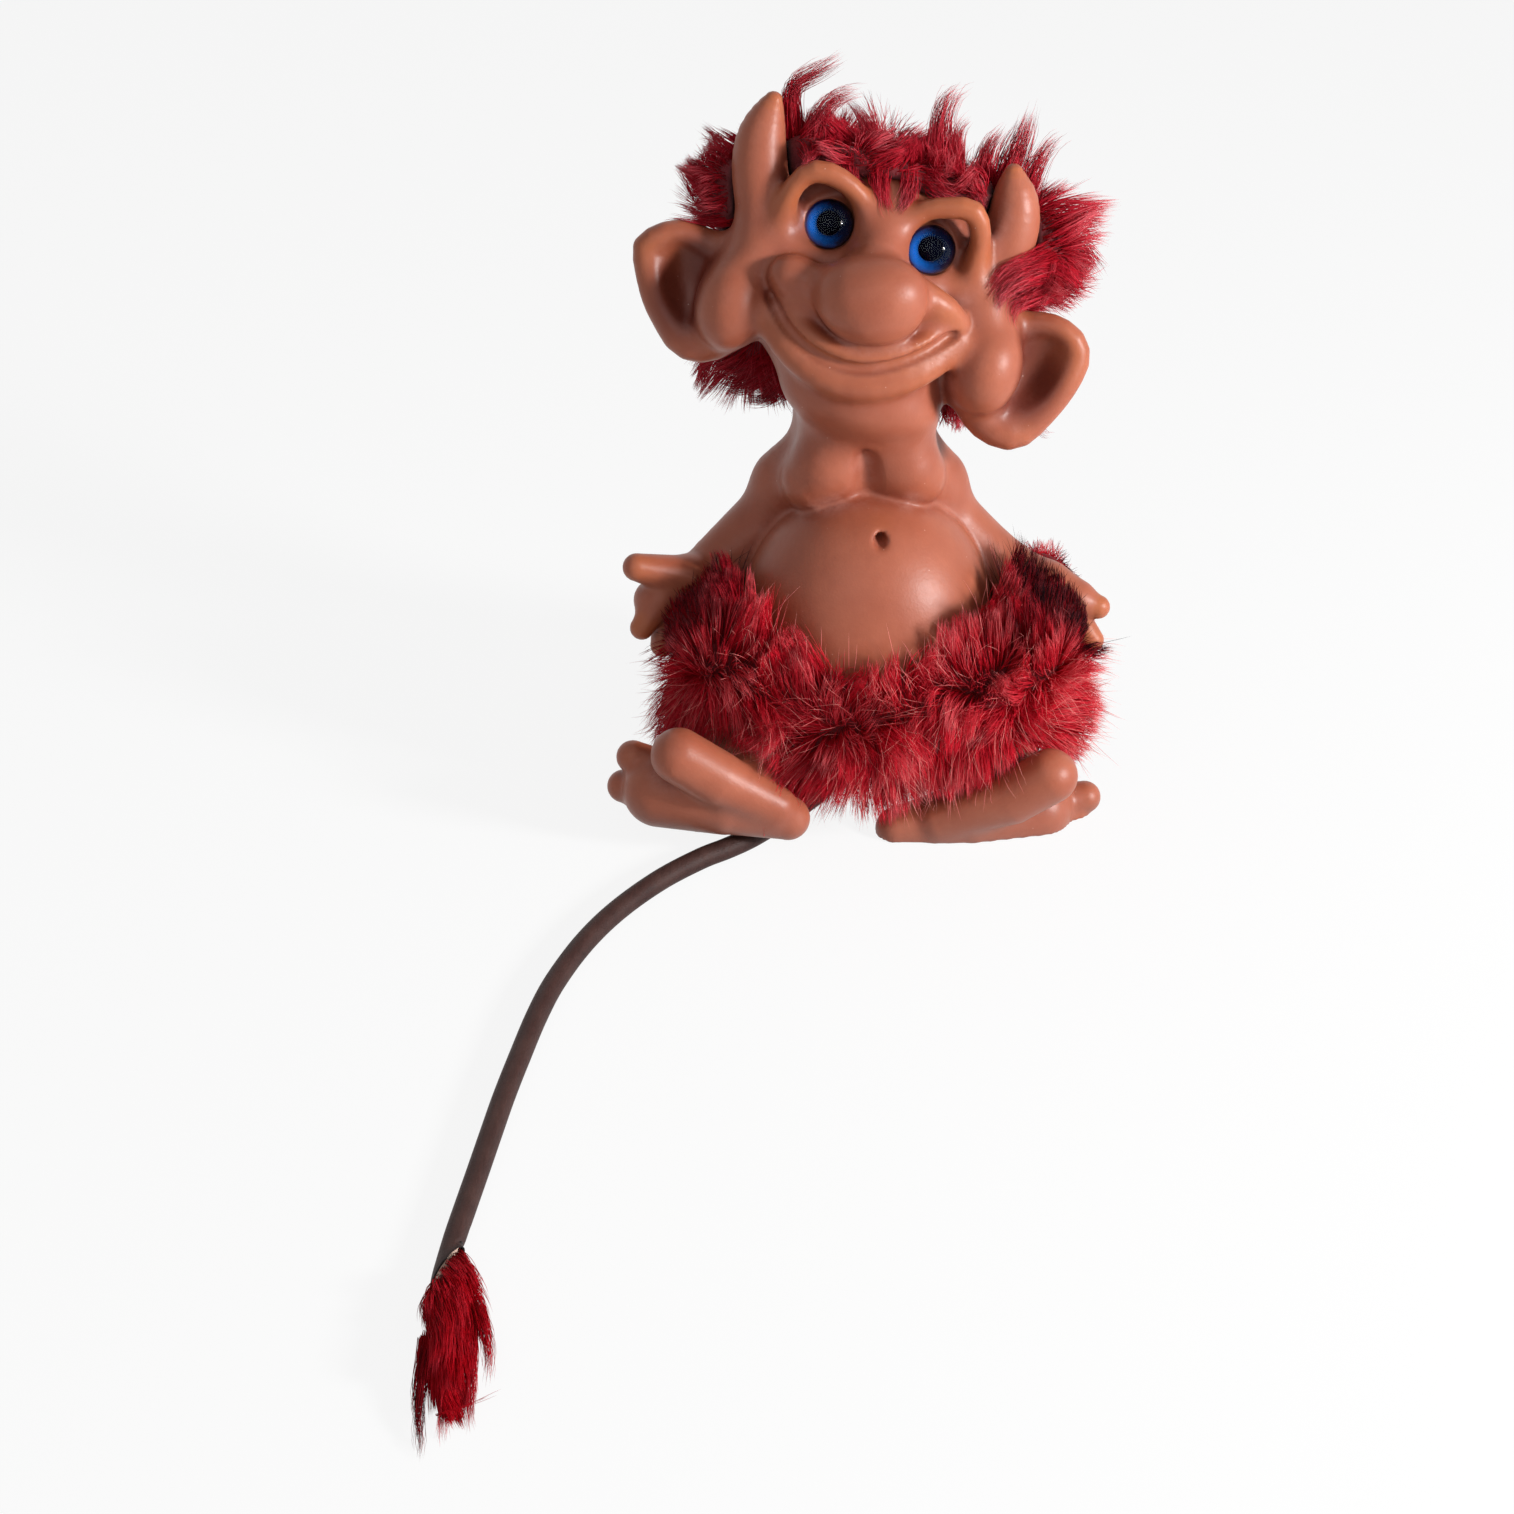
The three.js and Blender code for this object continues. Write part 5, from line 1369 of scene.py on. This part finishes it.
def wig_hair():
    """Short woolly hair all over the wig, combed down over the brow and the nape and out at the sides."""
    points, faces = hide_under("wig_hide", WIG, 2.8, WIG_HIDE, ["wig_pelt"], 2.2)

    def exposed(middle, out):
        return clay_at(FIGURE, middle + 3 * out) > 2.0

    roots, out = rooted(points, faces, 2.3, exposed)
    own = (roots - HEAD_AT) @ HEAD_AXES
    front = np.clip((14 - own[:, 1]) / 10, 0, 1)
    side = np.clip((np.abs(own[:, 0]) - 24) / 10, 0, 1)
    nape = np.clip((-18 - own[:, 2]) / 12, 0, 1)
    comb = np.zeros(roots.shape)
    comb[:, 0] = np.sign(own[:, 0]) * side * 0.8
    comb[:, 1] = 0.3 - 0.9 * front
    left = side * (own[:, 0] < 0)
    comb[:, 2] = 0.05 * side + 0.2 * (1 - nape) - 1.1 * nape - 0.4 * front
    heads = comb @ HEAD_AXES.T + 0.5 * out + 0.45 * swirl(roots, 6, 11) + 0.55 * swirl(roots, 2, 12)
    heads = scattered(heads, 0.15)
    curls = 0.75 * swirl(roots, 2.6, 13) + 0.15 * rng.normal(size=roots.shape)
    under = nape * np.clip(own[:, 0] / 14, 0, 1)
    lengths = rng.uniform(8.5, 14, len(roots)) * (1 + 0.2 * side - 0.35 * left - 0.25 * front - 0.6 * under)
    paths, tuft = gathered(grown(roots, heads, lengths, curls), 480, 0.3, 0.9, 1.0)
    paths, _ = gathered(paths, 120, 0.1, 0.5)
    paths = cleared(paths)
    shade = np.clip(rng.random(len(roots)) * 2.2 - 1.9, 0, 1)
    radii = thicknesses(0.75, 1.15, len(roots))
    hair_pieces("wig_hair", paths, radii, tuft_tones(tuft), shade, WIG_HAIR, own[:, 0])


def wig_locks():
    """The wig's locks, each with its own darkness and tone."""
    bundles, shades, tones = [], [], []
    for guide, width, count, dark in LOCKS:
        strands = int(count * WIG_LOCK_STRANDS)
        bundles.append(lock(guide, width * WIG_LOCK_WIDTH, strands))
        shades.append(np.clip(dark + rng.normal(size=strands) * 0.25, 0, 1))
        tones.append(rng.uniform(0.4, 0.75) + rng.uniform(-0.35, 0.35, strands))
    own = np.concatenate(bundles)
    paths = cleared(HEAD_AT + own @ HEAD_AXES.T)
    shade, tone = np.concatenate(shades), np.concatenate(tones)
    radii = thicknesses(0.6, 1.0, len(paths))
    hair_pieces("wig_locks", paths, radii, tone, shade, WIG_HAIR, own[:, 0, 0])


wig_hair()
wig_locks()


# The tuft at the tail's end, lying on the floor

# The sock of hide that holds the hair, with a radius at each point, and where the sheath's cut bares it
TUFT_SOCK = [
    [-90.7, -181, 2.9, 1.4], [-91.3, -188, 3, 1.7], [-91.5, -196, 3.5, 2.4], [-90.6, -207, 4.3, 3.1],
    [-89.3, -218, 4.2, 2.6], [-88.8, -227, 3.2, 1.4], [-88.6, -231, 2.6, 0.5],
]
SOCK_STEPS = 40
BARED_AT = -194.4
TUFT_LIFT = 0.4

TUFT_LOCKS = [
    ([[-93.5, -214, 4], [-93.8, -229, 3.4], [-92.4, -243.5, 1]], 2.0, 220, 0.7),
    ([[-89.5, -216, 4.6], [-88.8, -228, 4], [-88.6, -239.5, 1]], 2.4, 260, 0.1),
    ([[-85.5, -212, 4.6], [-84, -225, 4], [-83.2, -237, 1]], 2.2, 240, 0.1),
    ([[-84, -207, 5.4], [-81.4, -216, 5], [-80.4, -225, 2]], 2.0, 140, 0.1),
    ([[-89, -232, 3], [-88.7, -241, 1.4], [-88.6, -248, 0.8]], 0.25, 3, 0.5),
    ([[-89.5, -236, 5], [-83, -234, 6], [-77, -229.5, 5]], 0.3, 4, 0.4),
]


def tuft_sock():
    """A function that places shares of the sock's length and angles on it, with the ways ahead and out."""
    line, _ = smooth_line(TUFT_SOCK, SOCK_STEPS)
    stops = np.linspace(0, 1, SOCK_STEPS + 1)
    columns = np.hstack([line, *frames_along(line[:, :3])]).T

    def on_sock(share, angle):
        row = np.stack([np.interp(share, stops, column) for column in columns], axis=-1)
        middle, radius, ahead, left, up = np.split(row, [3, 4, 7, 10], axis=-1)
        out = np.cos(angle)[:, None] * left + np.sin(angle)[:, None] * up
        return middle + out * radius, ahead, out

    return on_sock


def tuft_hide(on_sock):
    """The sock of hide, pale along the sheath's cut and dyed beyond it."""
    sides, rings = TUBE_SIDES, SOCK_STEPS + 1
    turn = np.tile(2 * math.pi * np.arange(sides) / sides, rings)
    places, _, _ = on_sock(np.repeat(np.linspace(0, 1, rings), sides), turn)
    edge = np.clip(1 - (BARED_AT + CUT_SLANT * np.cos(turn) - 0.6 - places[:, 1]) / 1.2, 0, 1)
    points = np.vstack([places, places[-sides:].mean(axis=0), places[:sides].mean(axis=0)])
    points[:, 2] = np.maximum(points[:, 2], 0.1)
    facts = {"edge": np.concatenate([edge, [0, 1]])}
    return piece("tuft_hide", points, tube_faces(rings, sides), TUFT_HIDE, ["tail_tuft"], facts)


def tuft_hair(on_sock):
    """Hair that leaves the sock sideways and bends back along it."""
    count = 5200
    share = rng.uniform(0.08, 0.98, count)
    angle = rng.uniform(0, 2 * math.pi, count)
    roots, ahead, out = on_sock(share, angle)
    bare = roots[:, 1] < BARED_AT + CUT_SLANT * np.cos(angle) + 1.2
    share, roots, ahead, out = share[bare], roots[bare], ahead[bare], out[bare]
    low = np.clip(-out[:, 2], 0, 1)
    sideways = 1.05 - 0.5 * low - 0.6 * share
    heads = unit(ahead + sideways[:, None] * out + 0.22 * swirl(roots, 4, 21) + [0.16, 0, 0])
    heads = scattered(heads, 0.1)
    curls = 0.3 * swirl(roots, 4, 22) + 0.6 * ahead - 0.5 * out * (1 - low[:, None]) + [0, 0, -0.1]
    lengths = rng.uniform(7, 17, len(roots)) * (1 - 0.58 * share)
    paths, tuft = gathered(grown(roots, heads, lengths, curls), 120, 0.25, 0.85, 1.0)
    paths, _ = gathered(paths, 16, 0.1, 0.4)
    paths[..., 2] = np.maximum(paths[..., 2], TUFT_LIFT)
    left_low = near_any(paths[:, -1], [[-97, -212, 3], [-94, -228, 3]], 9)
    shade = np.clip(left_low * 0.8 - rng.random(len(roots)) * 0.4, 0, 1)
    radii = thicknesses(0.7, 1.1, len(roots))
    tones = tuft_tones(tuft)
    return hair_pieces("tuft_hair", paths, radii, tones, shade, TUFT_FUR, roots[:, 1])


def tuft_tips():
    """Locks that run out past the tuft's hair."""
    paths = np.concatenate([lock(guide, width, strands) for guide, width, strands, _ in TUFT_LOCKS])
    shades = [np.clip(dark + rng.normal(size=strands) * 0.25, 0, 1) for _, _, strands, dark in TUFT_LOCKS]
    paths[..., 2] = np.maximum(paths[..., 2], TUFT_LIFT)
    radii = thicknesses(0.6, 0.9, len(paths))
    shade, tones = np.concatenate(shades), rng.random(len(paths))
    return hair_pieces("tuft_tips", paths, radii, tones, shade, TUFT_FUR, paths[:, 0, 0])


on_tuft_sock = tuft_sock()
tuft_pieces = [tuft_hide(on_tuft_sock), *tuft_hair(on_tuft_sock), *tuft_tips()]

# The wire and washer of the tail and the eyes' shanks keep their solids
for name in ("tail_core", "tail_washer", "left_eye_shank", "right_eye_shank"):
    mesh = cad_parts[name].data
    mesh.materials.clear()
    mesh.materials.append(RAW_LEATHER if name == "tail_washer" else STEEL)


# Floor, lights and backdrop

WHITE_RAYS = ("Is Camera Ray", "Is Glossy Ray", "Is Transmission Ray")
FLOOR_WHITENESS = 0.88
FLOOR_REACH = 6
BACKDROP_LIGHT = 0.22
LAMPS_AIM = Vector((0, 0, 0.09))


def make_floor():
    """A pale floor that keeps the shadow. Cameras, metal and glass see it nearly as white as the backdrop."""
    mesh = bpy.data.meshes.new("floor")
    corners = [(x * FLOOR_REACH, y * FLOOR_REACH, 0) for x, y in ((-1, -1), (1, -1), (1, 1), (-1, 1))]
    mesh.from_pydata(corners, [], [(0, 1, 2, 3)])
    pale = Finish("pale_floor")
    pale.set(base_color=(0.86, 0.86, 0.86, 1), roughness=0.9, specular_ior_level=0.1)
    ray = pale.node("ShaderNodeLightPath")
    camera, glossy, through = (Wire(pale, ray.outputs[name]) for name in WHITE_RAYS)
    glow = pale.node("ShaderNodeEmission", {}, {"Color": (1, 1, 1, 1), "Strength": 1.0})
    pale.cover((camera + glossy + through).clamped() * FLOOR_WHITENESS, glow)
    mesh.materials.append(pale.material)
    floor = bpy.data.objects.new("floor", mesh)
    scene.collection.objects.link(floor)


def area_lamp(name, at, size, power):
    """A square lamp that faces the figure's middle."""
    light = bpy.data.lights.new(name, "AREA")
    light.size = size
    light.energy = power
    lamp = bpy.data.objects.new(name, light)
    lamp.location = at
    aim = LAMPS_AIM - Vector(at)
    lamp.rotation_euler = aim.to_track_quat("-Z", "Y").to_euler()
    scene.collection.objects.link(lamp)


def make_backdrop():
    """A backdrop that is white to look at and lights the figure softly."""
    world = bpy.data.worlds.new("studio")
    world.use_nodes = True
    tree = world.node_tree
    background = tree.nodes["Background"]
    background.inputs["Color"].default_value = (1, 1, 1, 1)
    ray = tree.nodes.new("ShaderNodeLightPath")
    seen = ray.outputs[WHITE_RAYS[0]]
    for name in WHITE_RAYS[1:]:
        most = tree.nodes.new("ShaderNodeMath")
        most.operation = "MAXIMUM"
        tree.links.new(seen, most.inputs[0])
        tree.links.new(ray.outputs[name], most.inputs[1])
        seen = most.outputs[0]
    level = tree.nodes.new("ShaderNodeMapRange")
    level.inputs["To Min"].default_value = BACKDROP_LIGHT
    level.inputs["To Max"].default_value = 1.0
    tree.links.new(seen, level.inputs["Value"])
    tree.links.new(level.outputs["Result"], background.inputs["Strength"])
    scene.world = world


make_floor()
area_lamp("key", (0.72, -0.4, 0.37), 0.15, 9.8)
area_lamp("fill", (-0.2, -0.65, 0.6), 0.6, 0.9)
make_backdrop()
scene.view_settings.view_transform = "Standard"
